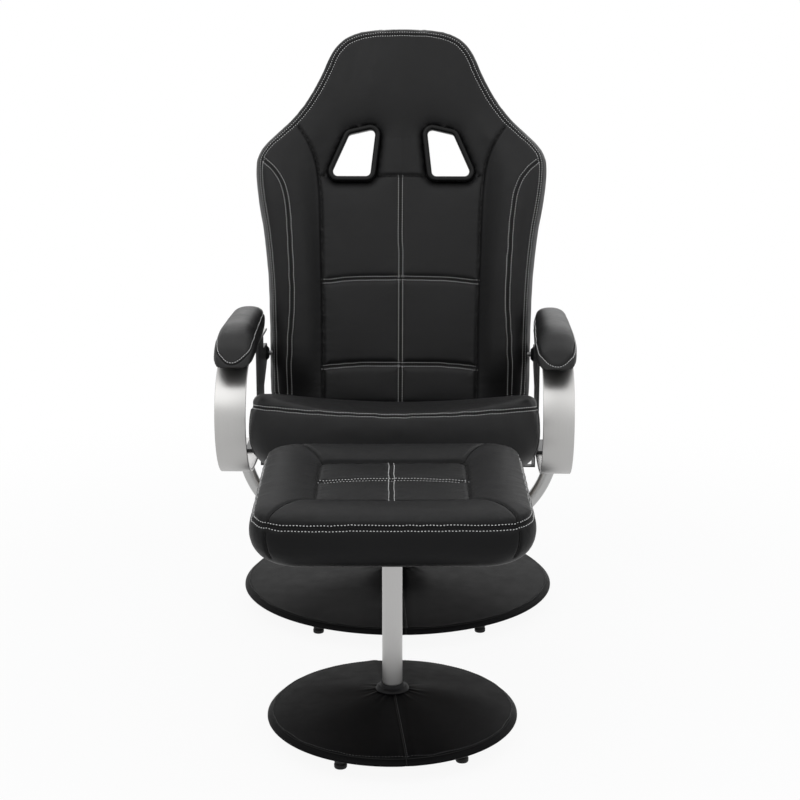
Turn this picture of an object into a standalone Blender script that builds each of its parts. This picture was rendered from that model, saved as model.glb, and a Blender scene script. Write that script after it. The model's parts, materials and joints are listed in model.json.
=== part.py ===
"""Swivel recliner with bucket back, band armrests and matching footstool.

Metres, +Z up, the front of the chair towards -Y, left meaning -X.
"""

import math

import bmesh
import bpy
from mathutils import Vector

for item in list(bpy.data.objects):
    bpy.data.objects.remove(item, do_unlink=True)

# Clearances and cutting
SEAT_GAP = 0.0003
PIN_CLEARANCE = 0.0006
POCKET_CLEARANCE = 0.0006
OVERRUN = 0.004
MERGE = 0.000001

# Chair base, a covered disc on glide feet
BASE_DIAMETER = 0.598
BASE_HEIGHT = 0.0700
BASE_TURN = math.radians(2.5)
STOOL_BASE_DIAMETER = 0.396
STOOL_BASE_HEIGHT = 0.0690
STOOL_BASE_TURN = math.radians(2.5)
RIM_HEIGHT = 0.0110
RIM_FLARE = 0.0085
RIM_LIP = 0.0030
SEAM_DIP = 0.0012
COVER_THICKNESS = 0.004
COVER_OPENING = 0.006
COLLAR_WALL = 0.0045
COLLAR_HEIGHT = 0.012
FOOT_HEIGHT = 0.029
FOOT_DIAMETER = 0.020
FOOT_CHAMFER = 0.0025
FOOT_INSET = 0.045
STOOL_FOOT_INSET = 0.040
FOOT_COUNT = 5

# Swivel column and hub
COLUMN_DIAMETER = 0.050
COLUMN_TOP = 0.100
SPINDLE_DIAMETER = 0.028
SPINDLE_LENGTH = 0.020
BORE_DEPTH = 0.022
HUB_NECK_DIAMETER = 0.064
HUB_FLANGE_DIAMETER = 0.130
HUB_FLANGE_THICKNESS = 0.006
HUB_TOP = 0.1167

# Cradle tube under the seat
TUBE_DIAMETER = 0.025
CRADLE_BEND_RADIUS = 0.180
CRADLE_END_SHIFT = 0.003
TUBE_PAD_LENGTH = 0.050
TUBE_PAD_WIDTH = 0.036
TUBE_PAD_THICKNESS = 0.004
STRAP_WIDTH = 0.070
STRAP_THICKNESS = 0.003
STRAP_LEG = 0.040

# Seat cushion, board and straps, in a plane that drops towards the back
SEAT_WIDTH = 0.5245
SEAT_LENGTH = 0.374
SEAT_THICKNESS = 0.106
SEAT_CROWN = 0.019
SEAT_DISH = 0.036
SEAT_REAR_FALL = 0.012
SEAT_CORNER = 0.048
SEAT_BOW = 0.018
SEAT_CENTRE_Y = -0.0858
SEAT_CENTRE_Z = 0.2975
SEAT_SLOPE = math.radians(13)
SEAT_BOARD_THICKNESS = 0.012
SEAT_BOARD_INSET = 0.050
CROSS_STRAP_WIDTH = 0.030
CROSS_STRAP_THICKNESS = 0.003
CROSS_STRAP_RISE = 0.085
CROSS_STRAP_SPACING = 0.054
SEAM_GROOVE = 0.004
EDGE_ROLL = 0.030

# Armrest bands and the side plates that tie them
RING_TO_SEAT = 0.00375
RING_WIDTH = 0.056
RING_THICKNESS = 0.005
RING_HEIGHT = 0.2200
RING_BOTTOM = 0.2850
RING_FRONT_Y = -0.225
RING_TOP_REAR_Y = 0.150
RING_BOTTOM_REAR_Y = 0.105
SIDE_PLATE_THICKNESS = 0.005
SIDE_PLATE_FRONT_Y = -0.005
SIDE_PLATE_DEPTH = 0.090
SIDE_FLANGE_WIDTH = 0.030
LUG_RADIUS = 0.020
LUG_DROP = 0.055

# Arm pads
PAD_BOARD_THICKNESS = 0.005
PAD_BOARD_INSET = 0.006
PAD_BOARD_FRONT_Y = -0.098
PAD_BOARD_REAR_Y = 0.146
PAD_FRONT_Y = -0.236
PAD_REAR_Y = 0.165
PAD_OUTER_OVERHANG = 0.0065
PAD_INNER_AT_BACK = 0.0024
PAD_INNER_OVERHANG = 0.019
PAD_HEIGHT = 0.050
PAD_NOSE_HEIGHT = 0.026
PAD_NOSE_DROP = 0.021

# Recline pivot, bolts and lock knob
PIVOT_Y = 0.135
PIVOT_DROP = 0.048
BOLT_DIAMETER = 0.010
BOLT_HEAD_DIAMETER = 0.022
BOLT_HEAD_HEIGHT = 0.006
SPACER_DIAMETER = 0.030
SPACER_SMALL_DIAMETER = 0.020
KNOB_DIAMETER = 0.052
KNOB_LENGTH = 0.026
KNOB_NECK_DIAMETER = 0.028
KNOB_NECK_LENGTH = 0.007
KNOB_LOBE_DEPTH = 0.0022
KNOB_LOBES = 6

# Backrest, measured from the pivot in its own leaning plane
BACK_LEAN = math.radians(14)
BACK_BELOW = 0.103
BACK_ABOVE = 0.655
BACK_FACE_SET = 0.016
BACK_THICKNESS = 0.056
BACK_SHOULDER_HALF = 0.292
BACK_TO_SIDE_PLATE = 0.006
WING_HEIGHT = 0.050
BACK_EDGE_RADIUS = 0.026
BACK_LOWER_RADIUS = 0.012
BACK_TUCK = 0.036
BACK_TUCK_HEIGHT = 0.0450
HEAD_PUFF = 0.012
PANEL_GROOVE = 0.004
CHANNEL_DEPTH = 0.0035
CHANNEL_WIDTH = 0.012
UPPER_CHANNEL_Z = 0.147
LOWER_CHANNEL_Z = -0.026
NECK_SEAM_Z = 0.358
SHELL_THICKNESS = 0.018
SHELL_INSET = 0.009
SHELL_BULGE = 0.008
HINGE_PLATE_THICKNESS = 0.004
HINGE_PLATE_DEPTH_IN = 0.022
HINGE_EYE_RADIUS = 0.016
HINGE_ROOT_HALF = 0.040

# Harness openings of the back
HARNESS_TOP_INNER_X = 0.052
HARNESS_TOP_OUTER_X = 0.104
HARNESS_LOW_INNER_X = 0.063
HARNESS_LOW_OUTER_X = 0.141
HARNESS_TOP_INNER_Z = 0.452
HARNESS_TOP_OUTER_Z = 0.440
HARNESS_LOW_Z = 0.358
HARNESS_CORNER = 0.009
BEZEL_WIDTH = 0.0115
BEZEL_PROUD = 0.005
BEZEL_CHAMFER = 0.003
BEZEL_FLARE = 0.008
SHELL_HOLE_MARGIN = 0.016

# Footstool
STOOL_DISTANCE = 0.630
STOOL_SHIFT = 0.010
STOOL_YAW = math.radians(5.6)
STOOL_TILT = math.radians(3)
STOOL_WIDTH = 0.423
STOOL_LENGTH = 0.386
STOOL_THICKNESS = 0.072
STOOL_CROWN = 0.011
STOOL_CORNER = 0.075
STOOL_CUSHION_Z = 0.345
STOOL_PANEL_WIDTH = 0.234
STOOL_PANEL_LENGTH = 0.158
STOOL_PANEL_CORNER = 0.016
STOOL_PANEL_GROOVE = 0.021
STOOL_BOARD_THICKNESS = 0.012
STOOL_BOARD_INSET = 0.050
STOOL_PLATE_SIZE = 0.180
STOOL_PLATE_THICKNESS = 0.004
STOOL_PLATE_CORNER = 0.020
POST_DIAMETER = 0.032
EDGE_BREAK = 0.0008

# Outline shares: height along the back, half width as a share of the shoulder
BACK_OUTLINE_SHARES = (
    (0.0000, 0.852), (0.0110, 0.880), (0.0300, 0.893), (0.0600, 0.896),
    (0.1360, 0.896), (0.2776, 0.896), (0.3654, 0.902), (0.4533, 0.925),
    (0.4972, 0.947), (0.5412, 0.970), (0.5851, 0.990), (0.6212, 1.000),
    (0.6485, 0.997), (0.6700, 0.978), (0.6925, 0.938), (0.7130, 0.885),
    (0.7364, 0.820), (0.7608, 0.755), (0.7852, 0.703), (0.8165, 0.644),
    (0.8536, 0.590), (0.8926, 0.540), (0.9268, 0.497), (0.9561, 0.440),
    (0.9756, 0.377), (0.9883, 0.300), (0.9961, 0.215), (1.0000, 0.120),
)
# Wing height along the back
WING_SHARES = (
    (0.000, 0.00), (0.045, 0.20), (0.090, 0.62), (0.140, 0.82), (0.317, 1.00), (0.531, 1.00),
    (0.609, 0.86), (0.688, 0.42), (0.736, 0.12), (0.785, 0.00), (1.000, 0.00),
)
# Front surface across the back: place, wing share, puff share
FRONT_SHARES = (
    (0.00, 0.00, 1.00), (0.34, 0.00, 0.80), (0.565, 0.02, 0.28),
    (0.600, 0.10, 0.10), (0.70, 0.66, 0.05), (0.80, 0.95, 0.00), (0.88, 1.00, 0.00),
    (0.945, 0.80, 0.00), (0.985, 0.40, 0.00), (1.00, 0.00, 0.00),
)
# Puff of the head and lumbar places along the back
PUFF_SHARES = (
    (0.000, 0.00), (0.317, 0.60), (0.561, 0.20), (0.629, 0.00), (0.727, 0.00), (0.805, 0.80),
    (0.883, 1.00), (1.000, 0.60),
)
WAIST_SHARE = 0.896
SHOULDER_START_SHARE = 0.61
PANEL_EDGE_SHARE = 0.565
EDGE_FALL_SHARE = 0.35
STATION_SPACING_SHARE = 0.009
# Dome of a base: place out to the rim, height share
DOME_SHARES = (
    (0.00, 1.00), (0.14, 0.84), (0.40, 0.60), (0.72, 0.31), (0.90, 0.13), (0.97, 0.05),
    (1.00, 0.00),
)
# Cushion levels: height share, inset share of the edge roll
CUSHION_SIDE_SHARES = (
    (0.00, 1.00), (0.05, 0.52), (0.18, 0.14), (0.42, 0.00), (0.66, 0.03),
    (0.78, 0.10),
)
CUSHION_TOP_SHARES = ((0.90, 0.24), (0.97, 0.62), (1.00, 1.10))
SEAM_LEVEL_SHARE = 0.05
DISH_LEVEL_SHARE = 0.45
CROWN_SHARES = ((0.30, 0.42), (0.58, 0.78), (0.82, 0.96))
# Sunk panel of a cushion: its puffed border, then its own pillow
PANEL_BORDER_SHARES = ((0.22, 0.70), (0.50, 1.00), (0.80, 0.72))
PANEL_CROWN_SHARES = ((0.10, 0.32), (0.50, 0.55))
# Arm pad along its length: place, width, height
PAD_SECTION_SHARES = (
    (0.00, 0.46, 0.20), (0.035, 0.72, 0.52), (0.10, 0.90, 0.80), (0.22, 1.00, 0.97),
    (0.34, 1.00, 1.00), (0.60, 1.00, 1.00), (0.80, 0.98, 0.97), (0.91, 0.90, 0.84),
    (0.97, 0.76, 0.60), (1.00, 0.52, 0.28),
)
# Section of an arm pad: across, up
PAD_RING_SHARES = (
    (-0.80, 0.00), (-0.40, 0.00), (0.00, 0.00), (0.40, 0.00), (0.80, 0.00),
    (0.94, 0.08), (1.00, 0.26), (0.995, 0.46), (0.95, 0.60), (0.90, 0.66),
    (0.82, 0.80), (0.60, 0.93), (0.30, 0.99), (0.00, 1.00), (-0.30, 0.99),
    (-0.60, 0.93), (-0.82, 0.80), (-0.90, 0.66), (-0.95, 0.60), (-0.995, 0.46),
    (-1.00, 0.26), (-0.94, 0.08),
)

# Facet counts
TURN_STEPS = 48
SMALL_STEPS = 24
FOOT_STEPS = 12
TUBE_SIDES = 16
BEND_STEPS = 10
RING_STEPS = 18
CORNER_STEPS = 4
SIDE_STEPS = 3
HARNESS_STEPS = 3
SHARP_ANGLE = math.radians(38)

SIDES = (("left", -1), ("right", 1))

# Places worked out from the sizes above
SEAT_HALF = SEAT_WIDTH / 2
RING_INNER_X = SEAT_HALF + RING_TO_SEAT
RING_OUTER_X = RING_INNER_X + RING_WIDTH
RING_TOP = RING_BOTTOM + RING_HEIGHT
PIVOT_Z = RING_TOP - PIVOT_DROP
SIDE_PLATE_X = RING_INNER_X
SIDE_PLATE_OUTER_X = SIDE_PLATE_X + SIDE_PLATE_THICKNESS
BACK_WAIST_HALF = SIDE_PLATE_X - BACK_TO_SIDE_PLATE
TUBE_RADIUS = TUBE_DIAMETER / 2
TUBE_CENTRE_Z = HUB_TOP + SEAT_GAP + TUBE_RADIUS
PLATE_BOTTOM = FOOT_HEIGHT + SEAT_GAP
BACK_HEIGHT = BACK_BELOW + BACK_ABOVE
HINGE_PLATE_X = BACK_WAIST_HALF - HINGE_PLATE_DEPTH_IN - HINGE_PLATE_THICKNESS
SHELL_FRONT_Y = BACK_FACE_SET + BACK_THICKNESS + SEAT_GAP
BACK_REACH = (
    PIVOT_Y
    + (SHELL_FRONT_Y + SHELL_THICKNESS) * math.cos(BACK_LEAN)
    + BACK_ABOVE * math.sin(BACK_LEAN)
)
CHAIR_Y = (STOOL_DISTANCE + STOOL_BASE_DIAMETER / 2 - BACK_REACH) / 2


def material(name, colour, roughness, metallic):
    made = bpy.data.materials.new(name)
    made.use_nodes = True
    shader = made.node_tree.nodes["Principled BSDF"]
    shader.inputs["Base Color"].default_value = (*colour, 1.0)
    shader.inputs["Roughness"].default_value = roughness
    shader.inputs["Metallic"].default_value = metallic
    return made


LEATHER = material("black_leather", (0.018, 0.018, 0.019), 0.42, 0.0)
COVER_LEATHER = material("base_leather", (0.016, 0.016, 0.017), 0.38, 0.0)
SILVER = material("brushed_silver", (0.62, 0.62, 0.61), 0.32, 1.0)
BRIGHT = material("bright_steel", (0.70, 0.70, 0.69), 0.18, 1.0)
BLACK_STEEL = material("black_steel", (0.02, 0.02, 0.02), 0.45, 0.3)
BLACK_PLASTIC = material("black_plastic", (0.012, 0.012, 0.012), 0.35, 0.0)
PLYWOOD = material("plywood", (0.50, 0.36, 0.22), 0.65, 0.0)
CORE_BOARD = material("core_board", (0.30, 0.22, 0.15), 0.7, 0.0)
GLIDE = material("glide_plastic", (0.01, 0.01, 0.01), 0.6, 0.0)


def empty(name, place=(0, 0, 0), turn=(0, 0, 0), parent=None):
    made = bpy.data.objects.new(name, None)
    bpy.context.collection.objects.link(made)
    made.location = place
    made.rotation_euler = turn
    made.parent = parent
    return made


def finish(name, bm, look, parent, place=(0, 0, 0), turn=(0, 0, 0)):
    """Turn a bmesh into a named, smooth-shaded object."""
    bmesh.ops.recalc_face_normals(bm, faces=bm.faces)
    mesh = bpy.data.meshes.new(name)
    bm.to_mesh(mesh)
    bm.free()
    mesh.shade_smooth()
    mesh.set_sharp_from_angle(angle=SHARP_ANGLE)
    mesh.materials.append(look)
    made = bpy.data.objects.new(name, mesh)
    bpy.context.collection.objects.link(made)
    made.parent = parent
    made.location = place
    made.rotation_euler = turn
    return made


def loft(name, loops, look, parent, ring=False, place=(0, 0, 0), turn=(0, 0, 0)):
    """Skin through closed loops; capped at both ends unless it closes on itself."""
    bm = bmesh.new()
    rows = [[bm.verts.new(point) for point in loop] for loop in loops]
    pairs = list(zip(rows, rows[1:] + rows[:1])) if ring else list(zip(rows, rows[1:]))
    for low, high in pairs:
        for i in range(len(low)):
            j = (i + 1) % len(low)
            bm.faces.new((low[i], low[j], high[j], high[i]))
    if not ring:
        bm.faces.new(rows[0])
        bm.faces.new(rows[-1])
    return finish(name, bm, look, parent, place, turn)


def turned(name, profile, look, parent, steps, closed=False, place=(0, 0, 0), turn=(0, 0, 0)):
    """Revolve a profile of (radius, height) round the local Z axis."""
    bm = bmesh.new()
    verts = [bm.verts.new((radius, 0, height)) for radius, height in profile]
    ends = verts[1:] + verts[:1] if closed else verts[1:]
    edges = [bm.edges.new(pair) for pair in zip(verts, ends)]
    bmesh.ops.spin(
        bm, geom=verts + edges, cent=(0, 0, 0), axis=(0, 0, 1),
        angle=math.tau, steps=steps, use_merge=True,
    )
    bmesh.ops.remove_doubles(bm, verts=bm.verts, dist=MERGE)
    return finish(name, bm, look, parent, place, turn)


def slab(name, outline, axis, low, high, look, parent, place=(0, 0, 0), turn=(0, 0, 0)):
    """Extrude a flat outline along X or Z from low to high."""
    bm = bmesh.new()
    lay = {"x": lambda a, b: (low, a, b), "z": lambda a, b: (a, b, low)}[axis]
    step = {"x": Vector((high - low, 0, 0)), "z": Vector((0, 0, high - low))}[axis]
    face = bm.faces.new([bm.verts.new(lay(a, b)) for a, b in outline])
    grown = bmesh.ops.extrude_face_region(bm, geom=[face])
    moved = [item for item in grown["geom"] if isinstance(item, bmesh.types.BMVert)]
    bmesh.ops.translate(bm, verts=moved, vec=step)
    return finish(name, bm, look, parent, place, turn)


def combine(body, tool, operation):
    """Cut or join with a hidden tool object."""
    change = body.modifiers.new(tool.name, "BOOLEAN")
    change.object = tool
    change.operation = operation
    change.solver = "EXACT"
    tool.hide_render = True
    tool.display_type = "WIRE"


def round_rectangle(half_x, half_y, corner, height=None, side_steps=0):
    """Points round a rectangle with arc corners, with extra points on its sides."""
    corner = min(corner, half_x, half_y)
    points = []
    centres = ((1, 1), (-1, 1), (-1, -1), (1, -1))
    for turn_index, (sx, sy) in enumerate(centres):
        cx, cy = sx * (half_x - corner), sy * (half_y - corner)
        for i in range(CORNER_STEPS + 1):
            angle = math.pi / 2 * (turn_index + i / CORNER_STEPS)
            points.append((cx + corner * math.cos(angle), cy + corner * math.sin(angle)))
        nx, ny = centres[(turn_index + 1) % len(centres)]
        angle = math.pi / 2 * (turn_index + 1)
        end_x = nx * (half_x - corner) + corner * math.cos(angle)
        end_y = ny * (half_y - corner) + corner * math.sin(angle)
        start_x, start_y = points[-1]
        for i in range(1, side_steps + 1):
            share = i / (side_steps + 1)
            points.append((start_x + (end_x - start_x) * share, start_y + (end_y - start_y) * share))
    return points if height is None else [(x, y, height) for x, y in points]


def arc(centre, radius, start, end, steps):
    return [
        (
            centre[0] + radius * math.cos(start + (end - start) * i / steps),
            centre[1] + radius * math.sin(start + (end - start) * i / steps),
        )
        for i in range(steps + 1)
    ]


def between(table, place):
    """Straight reading between the rows of a share table."""
    for (low, a), (high, b) in zip(table, table[1:]):
        if place <= high:
            return a + (b - a) * (place - low) / (high - low)
    return table[-1][1]


def dome_line(opening, radius, rim_z, top, sunk):
    """Dome of a base from the stem opening out to its rim, sunk below the cover."""
    low, high = rim_z - sunk, top - sunk
    outer = radius - sunk
    return [(opening + (outer - opening) * s, low + (high - low) * h) for s, h in DOME_SHARES]


def disc_base(prefix, diameter, height, stem, foot_circle, first_foot, parent):
    """Core board, upholstered cover, collar and glide feet; returns the stem's seat height."""
    radius = diameter / 2
    opening = stem / 2 + COVER_OPENING
    rim_z = PLATE_BOTTOM + RIM_HEIGHT
    shoulder = radius - RIM_FLARE
    inner_low = radius - 2 * COVER_THICKNESS
    outside = dome_line(opening, shoulder, rim_z, height, 0) + [
        (shoulder, rim_z - SEAM_DIP),
        (shoulder + 2 * SEAM_DIP, rim_z - SEAM_DIP),
        (radius, PLATE_BOTTOM + RIM_LIP),
        (radius - SEAM_DIP, PLATE_BOTTOM),
        (inner_low, PLATE_BOTTOM),
    ]
    inside = dome_line(opening, shoulder, rim_z, height, COVER_THICKNESS)
    turned(
        prefix + "_cover", outside + inside[::-1],
        COVER_LEATHER, parent, TURN_STEPS, closed=True,
    )
    top = dome_line(opening, shoulder, rim_z, height, COVER_THICKNESS + SEAT_GAP)
    turned(
        prefix + "_core",
        [(0, top[0][1])] + top + [(inner_low - SEAT_GAP, PLATE_BOTTOM), (0, PLATE_BOTTOM)],
        CORE_BOARD, parent, TURN_STEPS,
    )
    stem_seat = top[0][1] + SEAT_GAP
    collar_z = height + SEAT_GAP
    collar_in = stem / 2 + SEAT_GAP
    collar_out = stem / 2 + COVER_OPENING + COLLAR_WALL
    turned(
        prefix + "_collar",
        [
            (collar_in, collar_z), (collar_out, collar_z),
            (collar_out, collar_z + COLLAR_HEIGHT / 2),
            (collar_in + COLLAR_WALL / 2, collar_z + COLLAR_HEIGHT),
            (collar_in, collar_z + COLLAR_HEIGHT),
        ],
        BLACK_PLASTIC, parent, SMALL_STEPS, closed=True,
    )
    foot_radius = FOOT_DIAMETER / 2
    for i in range(FOOT_COUNT):
        angle = first_foot + math.tau * i / FOOT_COUNT
        spot = (foot_circle * math.cos(angle), foot_circle * math.sin(angle), 0)
        turned(
            f"{prefix}_foot_{i + 1}",
            [
                (0, FOOT_HEIGHT), (foot_radius - FOOT_CHAMFER, FOOT_HEIGHT),
                (foot_radius, FOOT_HEIGHT - FOOT_CHAMFER), (foot_radius, FOOT_CHAMFER),
                (foot_radius - FOOT_CHAMFER, 0), (0, 0),
            ],
            GLIDE, parent, FOOT_STEPS, place=spot,
        )
    return stem_seat


def swivel_column(parent, seat_z):
    radius = COLUMN_DIAMETER / 2
    bore = SPINDLE_DIAMETER / 2 + PIN_CLEARANCE
    turned(
        "swivel_column",
        [
            (0, seat_z), (radius, seat_z), (radius, COLUMN_TOP), (bore, COLUMN_TOP),
            (bore, COLUMN_TOP - BORE_DEPTH), (0, COLUMN_TOP - BORE_DEPTH),
        ],
        BLACK_STEEL, parent, SMALL_STEPS,
    )


def swivel_hub(parent):
    neck = HUB_NECK_DIAMETER / 2
    flange = HUB_FLANGE_DIAMETER / 2
    spindle = SPINDLE_DIAMETER / 2
    under = HUB_TOP - HUB_FLANGE_THICKNESS
    low = COLUMN_TOP + SEAT_GAP
    turned(
        "swivel_hub",
        [
            (0, HUB_TOP), (flange, HUB_TOP), (flange, under), (neck, under), (neck, low),
            (spindle, low), (spindle, COLUMN_TOP - SPINDLE_LENGTH),
            (0, COLUMN_TOP - SPINDLE_LENGTH),
        ],
        BLACK_STEEL, parent, SMALL_STEPS,
    )


def cradle_tube(parent):
    """U-shaped tube whose ends land flat on the pads under the bands."""
    end_z = RING_BOTTOM - TUBE_PAD_THICKNESS - 2 * SEAT_GAP
    sweep = math.acos(1 - (end_z - TUBE_CENTRE_Z) / CRADLE_BEND_RADIUS)
    end_x = (RING_INNER_X + RING_OUTER_X) / 2 + CRADLE_END_SHIFT
    flat = end_x - CRADLE_BEND_RADIUS * math.sin(sweep)
    bend = [sweep * i / BEND_STEPS for i in range(BEND_STEPS + 1)]
    path = [
        (
            flat + CRADLE_BEND_RADIUS * math.sin(angle),
            TUBE_CENTRE_Z + CRADLE_BEND_RADIUS * (1 - math.cos(angle)),
            angle,
        )
        for angle in bend
    ]
    stations = [(-x, z, -angle) for x, z, angle in reversed(path)] + path
    loops = []
    for index, (x, z, angle) in enumerate(stations):
        along = Vector((math.cos(angle), 0, math.sin(angle)))
        normal = Vector((-math.sin(angle), 0, math.cos(angle)))
        loop = []
        for i in range(TUBE_SIDES):
            a = math.tau * i / TUBE_SIDES
            point = Vector((x, 0, z)) + TUBE_RADIUS * (
                math.cos(a) * normal + math.sin(a) * Vector((0, 1, 0))
            )
            if index in (0, len(stations) - 1):
                point += along * ((end_z - point.z) / along.z)
            loop.append(point)
        loops.append(loop)
    loft("cradle_tube", loops, SILVER, parent)
    for side, sign in SIDES:
        slab(
            "tube_pad_" + side,
            round_rectangle(TUBE_PAD_WIDTH / 2, TUBE_PAD_LENGTH / 2, TUBE_PAD_THICKNESS),
            "z", end_z + SEAT_GAP, end_z + SEAT_GAP + TUBE_PAD_THICKNESS,
            SILVER, parent, place=(sign * end_x, 0, 0),
        )


def tube_strap(parent):
    """Omega strap that clamps the cradle tube to the hub."""
    inner = TUBE_RADIUS + SEAT_GAP
    outer = inner + STRAP_THICKNESS
    low = HUB_TOP + SEAT_GAP
    centre = (0, TUBE_CENTRE_Z)
    outline = (
        [(STRAP_LEG, low), (STRAP_LEG, low + STRAP_THICKNESS), (outer, low + STRAP_THICKNESS)]
        + arc(centre, outer, 0, math.pi, BEND_STEPS)
        + [(-outer, low + STRAP_THICKNESS), (-STRAP_LEG, low + STRAP_THICKNESS)]
        + [(-STRAP_LEG, low), (-inner, low)]
        + arc(centre, inner, math.pi, 0, BEND_STEPS)
        + [(inner, low)]
    )
    slab("tube_strap", outline, "x", -STRAP_WIDTH / 2, STRAP_WIDTH / 2, BLACK_STEEL, parent)


def arm_band(side, sign, parent):
    """Flat band bent into an open C: top run, round nose, bottom run."""
    radius = RING_HEIGHT / 2
    centre = (RING_FRONT_Y + radius, RING_BOTTOM + radius)
    inner = radius - RING_THICKNESS
    outline = (
        [(RING_TOP_REAR_Y, RING_TOP)]
        + arc(centre, radius, math.pi / 2, 3 * math.pi / 2, RING_STEPS)
        + [(RING_BOTTOM_REAR_Y, RING_BOTTOM), (RING_BOTTOM_REAR_Y, RING_BOTTOM + RING_THICKNESS)]
        + arc(centre, inner, 3 * math.pi / 2, math.pi / 2, RING_STEPS)
        + [(RING_TOP_REAR_Y, RING_TOP - RING_THICKNESS)]
    )
    band = slab(
        "arm_band_" + side, outline, "x", sign * RING_INNER_X, sign * RING_OUTER_X,
        SILVER, parent,
    )
    edge = band.modifiers.new("edge_break", "BEVEL")
    edge.width = EDGE_BREAK
    edge.segments = 1
    edge.limit_method = "ANGLE"
    edge.angle_limit = SHARP_ANGLE


def side_plate(side, sign, parent):
    """Upright plate with turned flanges and the lug of the recline pivot."""
    low = RING_BOTTOM + RING_THICKNESS + SEAT_GAP
    high = RING_TOP - RING_THICKNESS - SEAT_GAP
    front = SIDE_PLATE_FRONT_Y
    rear = front + SIDE_PLATE_DEPTH
    outline = (
        [(front, low), (rear, low), (rear, PIVOT_Z - LUG_DROP)]
        + arc((PIVOT_Y, PIVOT_Z), LUG_RADIUS, -math.pi / 3, math.pi / 2, CORNER_STEPS * 2)
        + [(rear, PIVOT_Z + LUG_RADIUS), (rear, high), (front, high)]
    )
    plate = slab(
        "side_plate_" + side, outline, "x", sign * SIDE_PLATE_X, sign * SIDE_PLATE_OUTER_X,
        BLACK_STEEL, parent,
    )
    flange = [(front, low), (rear, low), (rear, low + SIDE_PLATE_THICKNESS)]
    flange += [(front, low + SIDE_PLATE_THICKNESS)]
    middle = sign * (SIDE_PLATE_X + SIDE_PLATE_THICKNESS / 2)
    reach = sign * (SIDE_PLATE_X + SIDE_FLANGE_WIDTH)
    for level, lift in (("low", 0), ("high", high - low - SIDE_PLATE_THICKNESS)):
        tool = slab(
            f"flange_tool_{level}_{side}", [(y, z + lift) for y, z in flange], "x",
            middle, reach, BLACK_STEEL, parent,
        )
        combine(plate, tool, "UNION")
    combine(plate, pivot_drill("plate_drill_" + side, sign, parent), "DIFFERENCE")


def pivot_drill(name, sign, parent, reach=None):
    radius = BOLT_DIAMETER / 2 + PIN_CLEARANCE
    inner = SIDE_PLATE_X - OVERRUN if reach is None else reach
    outer = SIDE_PLATE_OUTER_X + OVERRUN
    return turned(
        name, [(0, outer), (radius, outer), (radius, inner), (0, inner)],
        BLACK_STEEL, parent, SMALL_STEPS, place=(0, PIVOT_Y, PIVOT_Z),
        turn=(0, sign * math.pi / 2, 0),
    )


def arm_pad(side, sign, parent):
    """Pad board on the band and the upholstered pad with its drooping nose."""
    board_low = RING_TOP + SEAT_GAP
    board_x = (RING_INNER_X + RING_OUTER_X) / 2
    board_y = (PAD_BOARD_FRONT_Y + PAD_BOARD_REAR_Y) / 2
    slab(
        "arm_board_" + side,
        round_rectangle(
            RING_WIDTH / 2 - PAD_BOARD_INSET, (PAD_BOARD_REAR_Y - PAD_BOARD_FRONT_Y) / 2,
            PAD_BOARD_INSET,
        ),
        "z", board_low, board_low + PAD_BOARD_THICKNESS, BLACK_PLASTIC, parent,
        place=(sign * board_x, board_y, 0),
    )
    pad_low = board_low + PAD_BOARD_THICKNESS + SEAT_GAP
    length = PAD_REAR_Y - PAD_FRONT_Y
    outer = RING_OUTER_X + PAD_OUTER_OVERHANG
    loops = []
    for share, wide, tall in PAD_SECTION_SHARES:
        y = PAD_FRONT_Y + length * share
        forward = max(0, (PAD_BOARD_FRONT_Y - y) / (PAD_BOARD_FRONT_Y - PAD_FRONT_Y))
        droop = PAD_NOSE_DROP * forward**2
        reach = min(1, 2 * forward)
        inner = RING_INNER_X - PAD_INNER_AT_BACK - (PAD_INNER_OVERHANG - PAD_INNER_AT_BACK) * reach
        middle = (inner + outer) / 2
        half = (outer - inner) / 2 * wide
        height = PAD_HEIGHT - (PAD_HEIGHT - PAD_NOSE_HEIGHT) * forward
        base = pad_low - droop
        lift = height * tall
        low_lip = height * (1 - tall) / 2
        loop = []
        for x_share, z_share in PAD_RING_SHARES:
            z = base + low_lip + (lift - low_lip) * z_share
            loop.append((sign * (middle + half * x_share), y, z))
        loops.append(loop)
    loft("arm_pad_" + side, loops, LEATHER, parent)


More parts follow.
